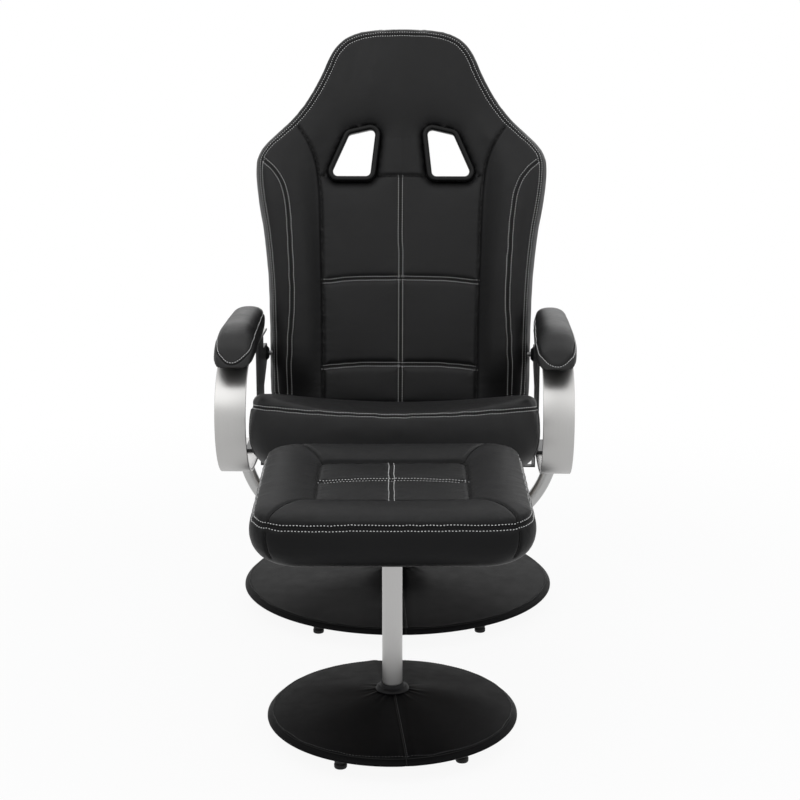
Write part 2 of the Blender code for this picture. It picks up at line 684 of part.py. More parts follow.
def cushion(
    name, half_x, half_y, thickness, corner, roll, crown, look, parent, bow=0, dish=0, fall=0,
    panel=None,
):
    """Upholstered block: drawn-in sides, a seam groove, a rolled edge and a crown."""
    levels = []
    for height, inset in CUSHION_SIDE_SHARES:
        levels.append((inset * roll, height * thickness, corner))
    seam = CUSHION_SIDE_SHARES[-1]
    groove = seam[1] * roll + SEAM_GROOVE
    levels.append((groove, (seam[0] + SEAM_LEVEL_SHARE) * thickness, corner))
    for height, inset in CUSHION_TOP_SHARES:
        levels.append((inset * roll + SEAM_GROOVE / 2, height * thickness, corner))
    loops = []
    for inset, height, radius in levels:
        loops.append([half_x - inset, half_y - inset, max(radius - inset, inset / 2), height])
    if panel is None:
        start_x, start_y = loops[-1][0], loops[-1][1]
        for inward, rise in CROWN_SHARES:
            loops.append([
                start_x * (1 - inward), start_y * (1 - inward),
                corner * (1 - inward), thickness + crown * rise,
            ])
    else:
        panel_x, panel_y, panel_corner, depth = panel
        start_x, start_y = loops[-1][0], loops[-1][1]
        for inward, rise in PANEL_BORDER_SHARES:
            loops.append([
                start_x + (panel_x - start_x) * inward, start_y + (panel_y - start_y) * inward,
                corner + (panel_corner - corner) * inward, thickness + crown * rise,
            ])
        loops.append([panel_x, panel_y, panel_corner, thickness + crown - depth])
        for inward, rise in PANEL_CROWN_SHARES:
            loops.append([
                panel_x * (1 - inward), panel_y * (1 - inward), panel_corner,
                thickness + crown - depth * (1 - rise),
            ])
    bent = []
    for lx, ly, radius, height in loops:
        ring = round_rectangle(lx, ly, radius, height, side_steps=SIDE_STEPS)
        sunk = dish if height >= thickness else 0
        lower = fall * height / thickness
        bent.append([
            (
                x, y - bow * max(0, -y / half_y) * (1 - (x / half_x) ** 2),
                z + sunk * ((x / half_x) ** 2 * (1 - max(0, y / half_y)) - DISH_LEVEL_SHARE)
                - lower * max(0, y / half_y) ** 2,
            )
            for x, y, z in ring
        ])
    return loft(name, bent, look, parent)


def seat(parent):
    """Seat cushion, its board and the two cross straps, in the sloping seat plane."""
    plane = empty("seat_plane", (0, SEAT_CENTRE_Y, SEAT_CENTRE_Z), (-SEAT_SLOPE, 0, 0), parent)
    cushion(
        "seat_cushion", SEAT_HALF, SEAT_LENGTH / 2, SEAT_THICKNESS, SEAT_CORNER, EDGE_ROLL,
        SEAT_CROWN, LEATHER, plane, bow=SEAT_BOW, dish=SEAT_DISH, fall=SEAT_REAR_FALL,
    )
    board_half_x = SEAT_HALF - SEAT_BOARD_INSET
    board_half_y = SEAT_LENGTH / 2 - SEAT_BOARD_INSET
    board_top = -SEAT_GAP
    board_low = board_top - SEAT_BOARD_THICKNESS
    slab(
        "seat_board", round_rectangle(board_half_x, board_half_y, SEAT_BOARD_INSET), "z",
        board_low, board_top, PLYWOOD, plane,
    )
    outer = RING_INNER_X - SEAT_GAP
    inner = outer - CROSS_STRAP_THICKNESS
    strap_top = board_low - SEAT_GAP
    strap_low = strap_top - CROSS_STRAP_THICKNESS
    high = strap_low + CROSS_STRAP_RISE
    profile = [
        (-outer, high), (-outer, strap_low), (outer, strap_low), (outer, high),
        (inner, high), (inner, strap_top), (-inner, strap_top), (-inner, high),
    ]
    plate_middle = SIDE_PLATE_FRONT_Y + SIDE_PLATE_DEPTH / 2
    middle = (plate_middle - SEAT_CENTRE_Y) / math.cos(SEAT_SLOPE)
    for label, shift in (("front", -1), ("rear", 1)):
        centre = middle + shift * CROSS_STRAP_SPACING / 2
        front = centre - CROSS_STRAP_WIDTH / 2
        rear = centre + CROSS_STRAP_WIDTH / 2
        loft(
            "cross_strap_" + label,
            [[(x, front, z) for x, z in profile], [(x, rear, z) for x, z in profile]],
            BLACK_STEEL, plane,
        )


def pivot_bolts(parent, back_side):
    """Bolts, spacers and the lock knob on the recline axis."""
    shank = BOLT_DIAMETER / 2
    head = BOLT_HEAD_DIAMETER / 2
    inner_end = back_side - HINGE_PLATE_DEPTH_IN - HINGE_PLATE_THICKNESS - OVERRUN
    head_low = SIDE_PLATE_OUTER_X + SEAT_GAP
    head_top = head_low + BOLT_HEAD_HEIGHT
    for side, sign in SIDES:
        turned(
            "pivot_bolt_" + side,
            [
                (0, head_top), (head * 2 / 3, head_top), (head, head_top - BOLT_HEAD_HEIGHT / 2),
                (head, head_low), (shank, head_low), (shank, inner_end), (0, inner_end),
            ],
            BRIGHT, parent, SMALL_STEPS, place=(0, PIVOT_Y, PIVOT_Z),
            turn=(0, sign * math.pi / 2, 0),
        )
        bore = shank + PIN_CLEARANCE
        turned(
            "pivot_spacer_" + side,
            [
                (SPACER_DIAMETER / 2, SIDE_PLATE_X - SEAT_GAP),
                (SPACER_SMALL_DIAMETER / 2, back_side + 2 * SEAT_GAP),
                (bore, back_side + 2 * SEAT_GAP), (bore, SIDE_PLATE_X - SEAT_GAP),
            ],
            BLACK_PLASTIC, parent, SMALL_STEPS, closed=True,
            place=(0, PIVOT_Y, PIVOT_Z), turn=(0, sign * math.pi / 2, 0),
        )
    return head_top


def lock_knob(parent, bolt_top):
    """Lobed clamp knob over the right bolt head, with a socket for the head."""
    socket = BOLT_HEAD_DIAMETER / 2 + PIN_CLEARANCE
    neck = KNOB_NECK_DIAMETER / 2
    grip = KNOB_DIAMETER / 2
    start = SIDE_PLATE_OUTER_X + 2 * SEAT_GAP
    end = start + KNOB_LENGTH
    shoulder = start + KNOB_NECK_LENGTH
    stations = (
        (start, neck, 0), (shoulder, neck, 0), (shoulder + EDGE_BREAK, grip * 5 / 6, 1),
        (shoulder + KNOB_NECK_LENGTH / 2, grip, 1), (end - KNOB_NECK_LENGTH / 2, grip, 1),
        (end, grip * 5 / 6, 1),
    )
    steps = KNOB_LOBES * 8
    loops = []
    for height, radius, lobed in stations:
        loop = []
        for i in range(steps):
            angle = math.tau * i / steps
            reach = radius - lobed * KNOB_LOBE_DEPTH * (1 - math.cos(KNOB_LOBES * angle)) / 2
            loop.append((reach * math.cos(angle), reach * math.sin(angle), height))
        loops.append(loop)
    knob = loft("lock_knob", loops, BLACK_PLASTIC, parent, turn=(0, math.pi / 2, 0))
    top = bolt_top + SEAT_GAP
    low = start - OVERRUN
    tool = turned(
        "knob_socket_tool", [(0, top), (socket, top), (socket, low), (0, low)],
        BLACK_PLASTIC, parent, SMALL_STEPS, turn=(0, math.pi / 2, 0),
    )
    combine(knob, tool, "DIFFERENCE")


def back_half_width(share):
    """Half width of the back at a share of its height; the waist keeps its own size."""
    shoulder = BACK_SHOULDER_HALF * between(BACK_OUTLINE_SHARES, share)
    waist = BACK_SHOULDER_HALF * WAIST_SHARE
    blend = min(1, max(0, (SHOULDER_START_SHARE - share) / SHOULDER_START_SHARE))
    return shoulder + (BACK_WAIST_HALF - waist) * min(1, 2 * blend)


def edge_setback(distance, radius):
    """How far a rounded edge falls back at a distance from the rim."""
    if distance >= radius:
        return 0
    return radius - math.sqrt(radius * radius - (radius - distance) ** 2)


def back_cushion(pivot):
    """Bucket cushion: centre panel, side wings, head puff and sewn channels."""
    stations = {share for share, _ in BACK_OUTLINE_SHARES}
    grooves = []
    for level in (UPPER_CHANNEL_Z, LOWER_CHANNEL_Z, NECK_SEAM_Z):
        for shift in (-1, 0, 1):
            place = (BACK_BELOW + level + shift * CHANNEL_WIDTH / 2) / BACK_HEIGHT
            stations = {s for s in stations if abs(s - place) > STATION_SPACING_SHARE}
            grooves.append(place)
    loops = []
    flat = BACK_FACE_SET + BACK_THICKNESS
    for share in sorted(stations | set(grooves)):
        height = BACK_HEIGHT * share
        z = height - BACK_BELOW
        rear = flat - BACK_TUCK * max(0, 1 - height / BACK_TUCK_HEIGHT)
        half = back_half_width(share)
        wing = WING_HEIGHT * between(WING_SHARES, share)
        puff = HEAD_PUFF * between(PUFF_SHARES, share)
        fall = edge_setback(BACK_HEIGHT - height, BACK_EDGE_RADIUS)
        fall += edge_setback(height, BACK_LOWER_RADIUS)
        sewn = 0
        for level in (UPPER_CHANNEL_Z, LOWER_CHANNEL_Z, NECK_SEAM_Z):
            if abs(z - level) < CHANNEL_WIDTH / 4:
                sewn = CHANNEL_DEPTH
        front = []
        for across, wing_share, puff_share in FRONT_SHARES:
            groove = PANEL_GROOVE if across == PANEL_EDGE_SHARE and wing else 0
            channel = sewn if across <= PANEL_EDGE_SHARE else 0
            y = BACK_FACE_SET + fall + groove + channel - wing * wing_share - puff * puff_share
            roll = BACK_EDGE_RADIUS * EDGE_FALL_SHARE if across == 1 else 0
            front.append((half * across, min(y + roll, rear - EDGE_BREAK)))
        side_y = (front[-1][1] + rear) / 2
        right = front + [
            (half, side_y), (half - EDGE_BREAK, rear - EDGE_BREAK),
            (half - BACK_EDGE_RADIUS / 4, rear),
        ]
        loop = [(x, y, z) for x, y in right]
        loop += [(0, rear, z)]
        loop += [(-x, y, z) for x, y in reversed(right[1:])]
        loops.append(loop)
    made = loft("back_cushion", loops, LEATHER, pivot)
    for side, sign in SIDES:
        opening = harness_loop(sign, BEZEL_WIDTH + SEAT_GAP, BACK_FACE_SET - WING_HEIGHT)
        far = harness_loop(sign, BEZEL_WIDTH + SEAT_GAP, flat + OVERRUN)
        combine(made, loft("harness_tool_" + side, [opening, far], LEATHER, pivot), "DIFFERENCE")
        pocket = slab(
            "hinge_pocket_" + side, hinge_outline(POCKET_CLEARANCE, flat, OVERRUN), "x",
            sign * (HINGE_PLATE_X - POCKET_CLEARANCE),
            sign * (HINGE_PLATE_X + HINGE_PLATE_THICKNESS + POCKET_CLEARANCE), LEATHER, pivot,
        )
        combine(made, pocket, "DIFFERENCE")
        bore = BOLT_DIAMETER / 2 + 2 * PIN_CLEARANCE
        low = HINGE_PLATE_X - 2 * OVERRUN
        high = BACK_WAIST_HALF + OVERRUN
        drill = turned(
            "cushion_drill_" + side, [(0, high), (bore, high), (bore, low), (0, low)],
            LEATHER, pivot, FOOT_STEPS, turn=(0, sign * math.pi / 2, 0),
        )
        combine(made, drill, "DIFFERENCE")


def harness_loop(sign, grow, y):
    """Outline of a harness opening, grown outwards and rounded, at a depth y."""
    corners = [
        Vector((HARNESS_TOP_INNER_X, HARNESS_TOP_INNER_Z)),
        Vector((HARNESS_TOP_OUTER_X, HARNESS_TOP_OUTER_Z)),
        Vector((HARNESS_LOW_OUTER_X, HARNESS_LOW_Z)),
        Vector((HARNESS_LOW_INNER_X, HARNESS_LOW_Z)),
    ]
    radius = HARNESS_CORNER + grow
    points = []
    for i, corner in enumerate(corners):
        back = (corners[i - 1] - corner).normalized()
        ahead = (corners[(i + 1) % len(corners)] - corner).normalized()
        half_angle = back.angle(ahead) / 2
        bisector = (back + ahead).normalized()
        centre = corner + bisector * ((radius - grow) / math.sin(half_angle))
        start = math.atan2(*reversed(-normal_of(back, ahead)))
        end = math.atan2(*reversed(-normal_of(ahead, back)))
        turn_angle = (end - start + math.pi) % math.tau - math.pi
        for k in range(HARNESS_STEPS + 1):
            angle = start + turn_angle * k / HARNESS_STEPS
            points.append((
                sign * (centre.x + radius * math.cos(angle)), y,
                centre.y + radius * math.sin(angle),
            ))
    return points


def normal_of(edge, towards):
    """Unit normal of an edge, on the side of the other direction."""
    normal = Vector((-edge.y, edge.x))
    return normal if normal.dot(towards) > 0 else -normal


def harness_bezel(side, sign, pivot):
    """Ring that lines a harness opening and flares towards the rear."""
    front = BACK_FACE_SET - BEZEL_PROUD
    rear = BACK_FACE_SET + BACK_THICKNESS - EDGE_BREAK
    loops = [
        harness_loop(sign, BEZEL_WIDTH, rear),
        harness_loop(sign, BEZEL_WIDTH, front + BEZEL_CHAMFER),
        harness_loop(sign, BEZEL_WIDTH - BEZEL_CHAMFER, front),
        harness_loop(sign, BEZEL_CHAMFER, front),
        harness_loop(sign, 0, front + BEZEL_CHAMFER),
        harness_loop(sign, BEZEL_FLARE, rear),
    ]
    loft("harness_bezel_" + side, loops, BLACK_PLASTIC, pivot, ring=True)


def back_shell(pivot):
    """Rear panel of the back, above its tucked lower edge, with larger openings."""
    lowest = BACK_TUCK_HEIGHT / BACK_HEIGHT
    loops = []
    for share in [share for share, _ in BACK_OUTLINE_SHARES if share > lowest]:
        z = BACK_HEIGHT * share - BACK_BELOW
        half = back_half_width(share) - SHELL_INSET
        near_end = edge_setback(BACK_HEIGHT * min(share - lowest, 1 - share), SHELL_THICKNESS) / 2
        front = SHELL_FRONT_Y
        rear = front + SHELL_THICKNESS - near_end
        bulge = SHELL_BULGE * math.sin(math.pi * min(1, max(0, share)))
        right = [
            (half, front), (half, (front + rear) / 2),
            (half - SHELL_INSET / 2, rear - SHELL_INSET / 4),
            (half * 2 / 3, rear - bulge / 3), (half / 3, rear),
        ]
        loop = [(0, front, z)] + [(x, y, z) for x, y in right] + [(0, rear, z)]
        loop += [(-x, y, z) for x, y in reversed(right)]
        loops.append(loop)
    shell = loft("back_shell", loops, LEATHER, pivot)
    for side, sign in SIDES:
        near = harness_loop(sign, SHELL_HOLE_MARGIN, SHELL_FRONT_Y - OVERRUN)
        far = harness_loop(sign, SHELL_HOLE_MARGIN, SHELL_FRONT_Y + SHELL_THICKNESS + OVERRUN)
        combine(shell, loft("shell_tool_" + side, [near, far], LEATHER, pivot), "DIFFERENCE")


def hinge_outline(grow, root_y, extra=0):
    eye = HINGE_EYE_RADIUS + grow
    root = HINGE_ROOT_HALF + grow
    return (
        arc((0, 0), eye, math.pi / 2, 3 * math.pi / 2, CORNER_STEPS * 2)
        + [(root_y, -root), (root_y + extra, -root), (root_y + extra, root), (root_y, root)]
    )


def hinge_plate(side, sign, pivot):
    """Plate from the pivot eye to the back shell, inside the cushion's pocket."""
    plate = slab(
        "hinge_plate_" + side, hinge_outline(0, BACK_FACE_SET + BACK_THICKNESS)[:-1], "x",
        sign * HINGE_PLATE_X, sign * (HINGE_PLATE_X + HINGE_PLATE_THICKNESS),
        BLACK_STEEL, pivot,
    )
    radius = BOLT_DIAMETER / 2 + PIN_CLEARANCE
    low = HINGE_PLATE_X - OVERRUN
    high = HINGE_PLATE_X + HINGE_PLATE_THICKNESS + OVERRUN
    drill = turned(
        "hinge_drill_" + side, [(0, high), (radius, high), (radius, low), (0, low)],
        BLACK_STEEL, pivot, SMALL_STEPS, turn=(0, sign * math.pi / 2, 0),
    )
    combine(plate, drill, "DIFFERENCE")


def footstool(parent, stem_seat):
    """Post, top plate, board and cushion of the footstool."""
    top = empty("stool_top", (0, 0, STOOL_CUSHION_Z), (STOOL_TILT, 0, 0), parent)
    board_top = -SEAT_GAP
    board_low = board_top - STOOL_BOARD_THICKNESS
    plate_top = board_low - SEAT_GAP
    plate_low = plate_top - STOOL_PLATE_THICKNESS
    post = POST_DIAMETER / 2
    post_top = STOOL_CUSHION_Z + plate_low / math.cos(STOOL_TILT)
    post_top -= SEAT_GAP + post * math.tan(STOOL_TILT)
    turned(
        "stool_post", [(0, stem_seat), (post, stem_seat), (post, post_top), (0, post_top)],
        SILVER, parent, SMALL_STEPS,
    )
    half = STOOL_PLATE_SIZE / 2
    slab(
        "stool_plate", round_rectangle(half, half, STOOL_PLATE_CORNER), "z",
        plate_low, plate_top, BLACK_STEEL, top,
    )
    slab(
        "stool_board",
        round_rectangle(
            STOOL_WIDTH / 2 - STOOL_BOARD_INSET, STOOL_LENGTH / 2 - STOOL_BOARD_INSET,
            STOOL_CORNER / 2,
        ),
        "z", board_low, board_top, PLYWOOD, top,
    )
    cushion(
        "stool_cushion", STOOL_WIDTH / 2, STOOL_LENGTH / 2, STOOL_THICKNESS, STOOL_CORNER,
        EDGE_ROLL, STOOL_CROWN, LEATHER, top,
        panel=(
            STOOL_PANEL_WIDTH / 2, STOOL_PANEL_LENGTH / 2, STOOL_PANEL_CORNER,
            STOOL_PANEL_GROOVE,
        ),
    )


def build():
    chair = empty("chair_axis", (0, CHAIR_Y, 0))
    front = -math.pi / 2
    column_seat = disc_base(
        "base", BASE_DIAMETER, BASE_HEIGHT, COLUMN_DIAMETER,
        BASE_DIAMETER / 2 - FOOT_INSET,
        front + BASE_TURN + math.pi / FOOT_COUNT, chair,
    )
    swivel_column(chair, column_seat)
    swivel_hub(chair)
    cradle_tube(chair)
    tube_strap(chair)
    for side, sign in SIDES:
        arm_band(side, sign, chair)
        side_plate(side, sign, chair)
        arm_pad(side, sign, chair)
    seat(chair)
    bolt_top = pivot_bolts(chair, BACK_WAIST_HALF)
    knob_axis = empty("knob_axis", (0, PIVOT_Y, PIVOT_Z), parent=chair)
    lock_knob(knob_axis, bolt_top)
    pivot = empty("recline_axis", (0, PIVOT_Y, PIVOT_Z), (-BACK_LEAN, 0, 0), chair)
    back_cushion(pivot)
    back_shell(pivot)
    for side, sign in SIDES:
        harness_bezel(side, sign, pivot)
        hinge_plate(side, sign, pivot)
    stool = empty(
        "stool_axis", (STOOL_SHIFT, CHAIR_Y - STOOL_DISTANCE, 0), (0, 0, STOOL_YAW)
    )
    post_seat = disc_base(
        "stool_base", STOOL_BASE_DIAMETER, STOOL_BASE_HEIGHT, POST_DIAMETER,
        STOOL_BASE_DIAMETER / 2 - STOOL_FOOT_INSET,
        front + STOOL_BASE_TURN + math.pi / FOOT_COUNT, stool,
    )
    footstool(stool, post_seat)


build()
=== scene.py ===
"""Looks of a swivel recliner with bucket back, band armrests and a matching footstool."""

import json
import math
import random

import bmesh
import bpy
import numpy as np
from mathutils import Matrix, Vector
from mathutils.bvhtree import BVHTree
from mathutils.kdtree import KDTree


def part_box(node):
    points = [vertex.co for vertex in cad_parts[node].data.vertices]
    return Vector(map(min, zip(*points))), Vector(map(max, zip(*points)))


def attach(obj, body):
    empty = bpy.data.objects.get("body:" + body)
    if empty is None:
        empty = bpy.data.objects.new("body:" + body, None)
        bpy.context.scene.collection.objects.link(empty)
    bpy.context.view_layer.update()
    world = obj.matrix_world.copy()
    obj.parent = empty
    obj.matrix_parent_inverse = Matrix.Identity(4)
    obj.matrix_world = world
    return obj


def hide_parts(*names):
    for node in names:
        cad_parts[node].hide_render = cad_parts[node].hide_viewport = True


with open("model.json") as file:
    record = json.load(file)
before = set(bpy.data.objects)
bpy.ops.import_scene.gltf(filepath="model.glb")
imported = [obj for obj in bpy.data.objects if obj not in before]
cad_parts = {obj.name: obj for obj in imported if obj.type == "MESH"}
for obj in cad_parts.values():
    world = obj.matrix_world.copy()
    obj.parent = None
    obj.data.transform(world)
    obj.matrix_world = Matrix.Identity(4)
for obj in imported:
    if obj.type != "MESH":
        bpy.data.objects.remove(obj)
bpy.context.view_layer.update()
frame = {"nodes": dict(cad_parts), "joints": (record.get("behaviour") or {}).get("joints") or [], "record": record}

random.seed(7)
scene = bpy.context.scene
JOINTS = {joint["name"]: joint for joint in frame["joints"]}
CHAIR_Y = JOINTS["swivel"]["pos_m"][1]
PIVOT = Vector(JOINTS["recline"]["pos_m"])
SIDES = (("left", -1), ("right", 1))
UP = Vector((0, 0, 1))


def placed(name, data):
    """A new object in the scene."""
    item = bpy.data.objects.new(name, data)
    scene.collection.objects.link(item)
    return item


# ---------------------------------------------------------------- camera
CAMERA_BACK, CAMERA_ASIDE, CAMERA_HEIGHT = 3.03, 0.0045, 1.095
CAMERA_DROP, CAMERA_ROUND = math.radians(13.04), math.radians(1.6)
SENSOR, FOCAL_PIXELS, PICTURE_PIXELS = 36, 1619, 800
camera_data = bpy.data.cameras.new("camera")
camera_data.sensor_width = SENSOR
camera_data.lens = SENSOR * FOCAL_PIXELS / PICTURE_PIXELS
camera = placed("camera", camera_data)
camera.location = (
    CAMERA_BACK * math.sin(CAMERA_ROUND) + CAMERA_ASIDE * math.cos(CAMERA_ROUND),
    CHAIR_Y - CAMERA_BACK * math.cos(CAMERA_ROUND) + CAMERA_ASIDE * math.sin(CAMERA_ROUND),
    CAMERA_HEIGHT,
)
camera.rotation_euler = (math.pi / 2 - CAMERA_DROP, 0, CAMERA_ROUND)
scene.camera = camera


# ---------------------------------------------------------------- node helpers
class Nodes:
    """A small hand for building a node tree."""

    def __init__(self, owner):
        owner.use_nodes = True
        self.tree = owner.node_tree
        self.tree.nodes.clear()

    def add(self, kind, inputs=None, **settings):
        """A node with its settings; each input is a number, a colour or another's output."""
        node = self.tree.nodes.new(kind)
        for key, value in settings.items():
            setattr(node, key, value)
        for key, value in (inputs or {}).items():
            self.feed(node.inputs[key], value)
        return node

    def feed(self, socket, value):
        if isinstance(value, (int, float)):
            socket.default_value = value
        elif isinstance(value, tuple):
            socket.default_value = (*value, 1) if socket.type == "RGBA" else value
        else:
            self.tree.links.new(value, socket)

    def math(self, operation, *values):
        node = self.add("ShaderNodeMath", dict(enumerate(values)), operation=operation)
        return node.outputs[0]


class Surface(Nodes):
    """A material of one shader, patterned by the piece's own coordinates."""

    def __init__(self, name):
        self.material = bpy.data.materials.new(name)
        super().__init__(self.material)
        self.shader = self.add("ShaderNodeBsdfPrincipled")
        self.add("ShaderNodeOutputMaterial", {0: self.shader.outputs[0]})
        self.coord = self.add("ShaderNodeTexCoord").outputs["Object"]

    def mapped(self, *scale):
        return self.add("ShaderNodeMapping", {"Vector": self.coord, "Scale": scale}).outputs[0]

    def noise(self, scale, detail=3, vector=None, rough=0.5, distort=0.0, output="Fac"):
        return self.add("ShaderNodeTexNoise", {
            "Vector": self.coord if vector is None else vector, "Scale": scale,
            "Detail": detail, "Roughness": rough, "Distortion": distort,
        }).outputs[output]

    def ramp(self, factor, stops):
        """Greys at places along a factor."""
        node = self.add("ShaderNodeValToRGB", {0: factor})
        elements = node.color_ramp.elements
        while len(elements) < len(stops):
            elements.new(0.5)
        for element, (place, grey) in zip(elements, stops):
            element.position = place
            element.color = (grey, grey, grey, 1)
        return node.outputs[0]

    def mix(self, factor, a, b):
        return self.add("ShaderNodeMix", {0: factor, 6: a, 7: b}, data_type="RGBA").outputs[2]

    def bump(self, height, strength, distance, before=None):
        inputs = {"Height": height, "Strength": strength, "Distance": distance}
        if before is not None:
            inputs["Normal"] = before
        return self.add("ShaderNodeBump", inputs).outputs[0]

    def put(self, **values):
        """Feed the shader and hand over the finished material."""
        for key, value in values.items():
            self.feed(self.shader.inputs[key.replace("_", " ")], value)
        return self.material


def shade(tone, factor):
    return tuple(c * factor for c in tone)


def leather(name, tone, rough, grain=1.0, creases=1.0, gloss=0.20):
    """Bonded black leather: pebbled grain, fine pores, soft creases, and painted shade darkening it beside its
    seams, where it is also rougher.
    """
    n = Surface(name)
    wobble = n.noise(320, 1, output="Color")
    wobble = n.add("ShaderNodeVectorMath", operation="SCALE", inputs={0: wobble, "Scale": 0.0014})
    warped = n.add("ShaderNodeVectorMath", {0: n.coord, 1: wobble.outputs[0]}, operation="ADD")
    cells = n.add("ShaderNodeTexVoronoi", feature="DISTANCE_TO_EDGE",
                  inputs={"Vector": warped.outputs[0], "Scale": 760})
    pebble = n.ramp(cells.outputs["Distance"], ((0.0, 0.0), (0.16, 0.75), (0.5, 1.0)))
    folds = n.noise(14, 3, n.mapped(1, 1, 1.6), 0.55, 0.6)
    folds = n.ramp(folds, ((0.38, 0.0), (0.5, 0.5), (0.62, 1.0)))
    seam = n.add("ShaderNodeAttribute", attribute_name="seam").outputs["Fac"]
    colour = n.mix(n.noise(5.5, 3), shade(tone, 0.78), shade(tone, 1.25))
    colour = n.mix(n.math("MULTIPLY", pebble, 0.35), n.mix(0.5, colour, (0, 0, 0)), colour)
    # painted shade: the seam mask darkens the leather beside each seam, where the groove would be shaded
    colour = n.mix(n.math("MULTIPLY", seam, 0.80), colour, (0.0016, 0.0016, 0.0017))
    change = n.math("MULTIPLY_ADD", n.noise(38, 3), 0.16, rough - 0.08)
    change = n.math("ADD", change, n.math("MULTIPLY", seam, 0.10))
    relief = n.bump(folds, 0.16 * creases, 0.0010)
    relief = n.bump(n.noise(95, 4, rough=0.6), 0.16, 0.0005, relief)
    relief = n.bump(pebble, 0.32 * grain, 0.00020, relief)
    return n.put(Base_Color=colour, Roughness=change, Normal=relief, Specular_IOR_Level=gloss)


def brushed(name, tone, rough, axis, streak=1.0):
    """Brushed metal with long fine streaks along one axis."""
    n = Surface(name)
    fine, wide = [900.0] * 3, [160.0] * 3
    fine[axis], wide[axis] = 9.0, 3.0
    lines = n.noise(1.0, 4, n.mapped(*fine), 0.65)
    bands = n.noise(1.0, 2, n.mapped(*wide))
    colour = n.mix(n.math("MULTIPLY", lines, 0.8 * streak), shade(tone, 0.86), tone)
    change = n.math("MULTIPLY_ADD", n.math("ADD", lines, n.noise(7, 3)), 0.12, rough - 0.12)
    relief = n.bump(lines, 0.22 * streak, 0.00006, n.bump(bands, 0.10, 0.0002))
    return n.put(Base_Color=colour, Roughness=change, Normal=relief, Metallic=1.0)


def plastic(name, tone, rough, scale=900, gloss=0.20):
    """Moulded plastic with a fine spark-eroded texture and slight scuffs."""
    n = Surface(name)
    scuff = n.noise(60, 4, rough=0.7)
    return n.put(
        Base_Color=n.mix(scuff, shade(tone, 0.8), shade(tone, 1.3)),
        Roughness=n.math("MULTIPLY_ADD", scuff, 0.2, rough - 0.1),
        Normal=n.bump(n.noise(scale, 2), 0.25, 0.0001), Specular_IOR_Level=gloss,
    )


def coated(name, tone, rough):
    """Powder-coated steel with a faint orange peel."""
    n = Surface(name)
    dust = n.noise(25, 4, rough=0.7)
    return n.put(
        Base_Color=n.mix(dust, tone, shade(tone, 1.5)),
        Roughness=n.math("MULTIPLY_ADD", dust, 0.18, rough - 0.08),
        Normal=n.bump(n.noise(420, 2), 0.3, 0.00025),
        Metallic=0.2, Coat_Weight=0.15, Coat_Roughness=0.35,
    )


def timber(name, tone, scale):
    """Raw board: long grain, edge layers and a dry surface."""
    n = Surface(name)
    grain = n.noise(1.0, 5, n.mapped(12 * scale, 160 * scale, 160 * scale), 0.6)
    layers = n.noise(1.0, 1, n.mapped(3, 3, 520))
    colour = n.mix(grain, shade(tone, 0.72), tone)
    colour = n.mix(n.math("MULTIPLY", layers, 0.35), colour, shade(tone, 0.6))
    return n.put(Base_Color=colour, Roughness=0.72, Normal=n.bump(grain, 0.4, 0.0004))


def thread(name, tone):
    """Twisted sewing thread."""
    n = Surface(name)
    twist = n.noise(1500, 2)
    return n.put(Base_Color=n.mix(twist, shade(tone, 0.72), tone), Roughness=0.62,
                 Normal=n.bump(twist, 0.5, 0.0002), Sheen_Weight=0.3)


LEATHER = leather("leather_black", (0.0125, 0.0125, 0.0130), 0.46)
PAD_LEATHER = leather("leather_pad", (0.0080, 0.0080, 0.0085), 0.42)
COVER_LEATHER = leather("leather_base", (0.0055, 0.0055, 0.0060), 0.42, 0.7, 0.6, 0.035)
STOOL_LEATHER = leather("leather_stool", (0.0155, 0.0155, 0.0160), 0.46, gloss=0.085)
# near-black tubes laid in the seams: painted shade of the seam creases
SEAM_SHADE = plastic("seam_shadow", (0.004, 0.004, 0.004), 0.7)
WHITE_THREAD = thread("thread_white", (0.82, 0.82, 0.81))
BLACK_THREAD = thread("thread_black", (0.012, 0.012, 0.012))
SILVER_BAND = brushed("silver_band", (0.50, 0.495, 0.487), 0.38, 2)
SILVER_TUBE = brushed("silver_tube", (0.45, 0.45, 0.445), 0.34, 0, 0.7)
SILVER_POST = brushed("silver_post", (0.49, 0.485, 0.48), 0.32, 2, 0.8)
BRIGHT = brushed("bright_steel_turned", (0.20, 0.20, 0.20), 0.30, 0, 0.5)
BLACK_STEEL = coated("steel_black", (0.014, 0.014, 0.0145), 0.42)
BEZEL_PLASTIC = plastic("bezel_plastic", (0.005, 0.005, 0.0052), 0.30, 700, 0.16)
BLACK_PLASTIC = plastic("plastic_black", (0.008, 0.008, 0.0085), 0.42, gloss=0.10)
GLIDE = plastic("glide_black", (0.010, 0.010, 0.010), 0.55)
PLYWOOD = timber("plywood_board", (0.50, 0.36, 0.22), 1.0)
CORE = timber("core_board_raw", (0.30, 0.22, 0.15), 1.6)
CAD_LOOKS = {
    "black_leather": LEATHER, "base_leather": COVER_LEATHER, "brushed_silver": SILVER_TUBE,
    "bright_steel": BRIGHT, "black_steel": BLACK_STEEL, "black_plastic": BLACK_PLASTIC,
    "plywood": PLYWOOD, "core_board": CORE, "glide_plastic": GLIDE,
}
for part in frame["record"]["subparts"]:
    node = frame["nodes"][part["node"]]
    node.data.materials.clear()
    node.data.materials.append(CAD_LOOKS[part["material_slot"]])


# ---------------------------------------------------------------- mesh helpers
def new_mesh(name, verts, faces):
    mesh = bpy.data.meshes.new(name)
    mesh.from_pydata([tuple(v) for v in verts], [], faces)
    return mesh


def make(name, verts, faces, look, body, slot, sharp=None):
    mesh = new_mesh(name, verts, faces)
    mesh.validate()
    return dress(name, mesh, look, body, sharp)


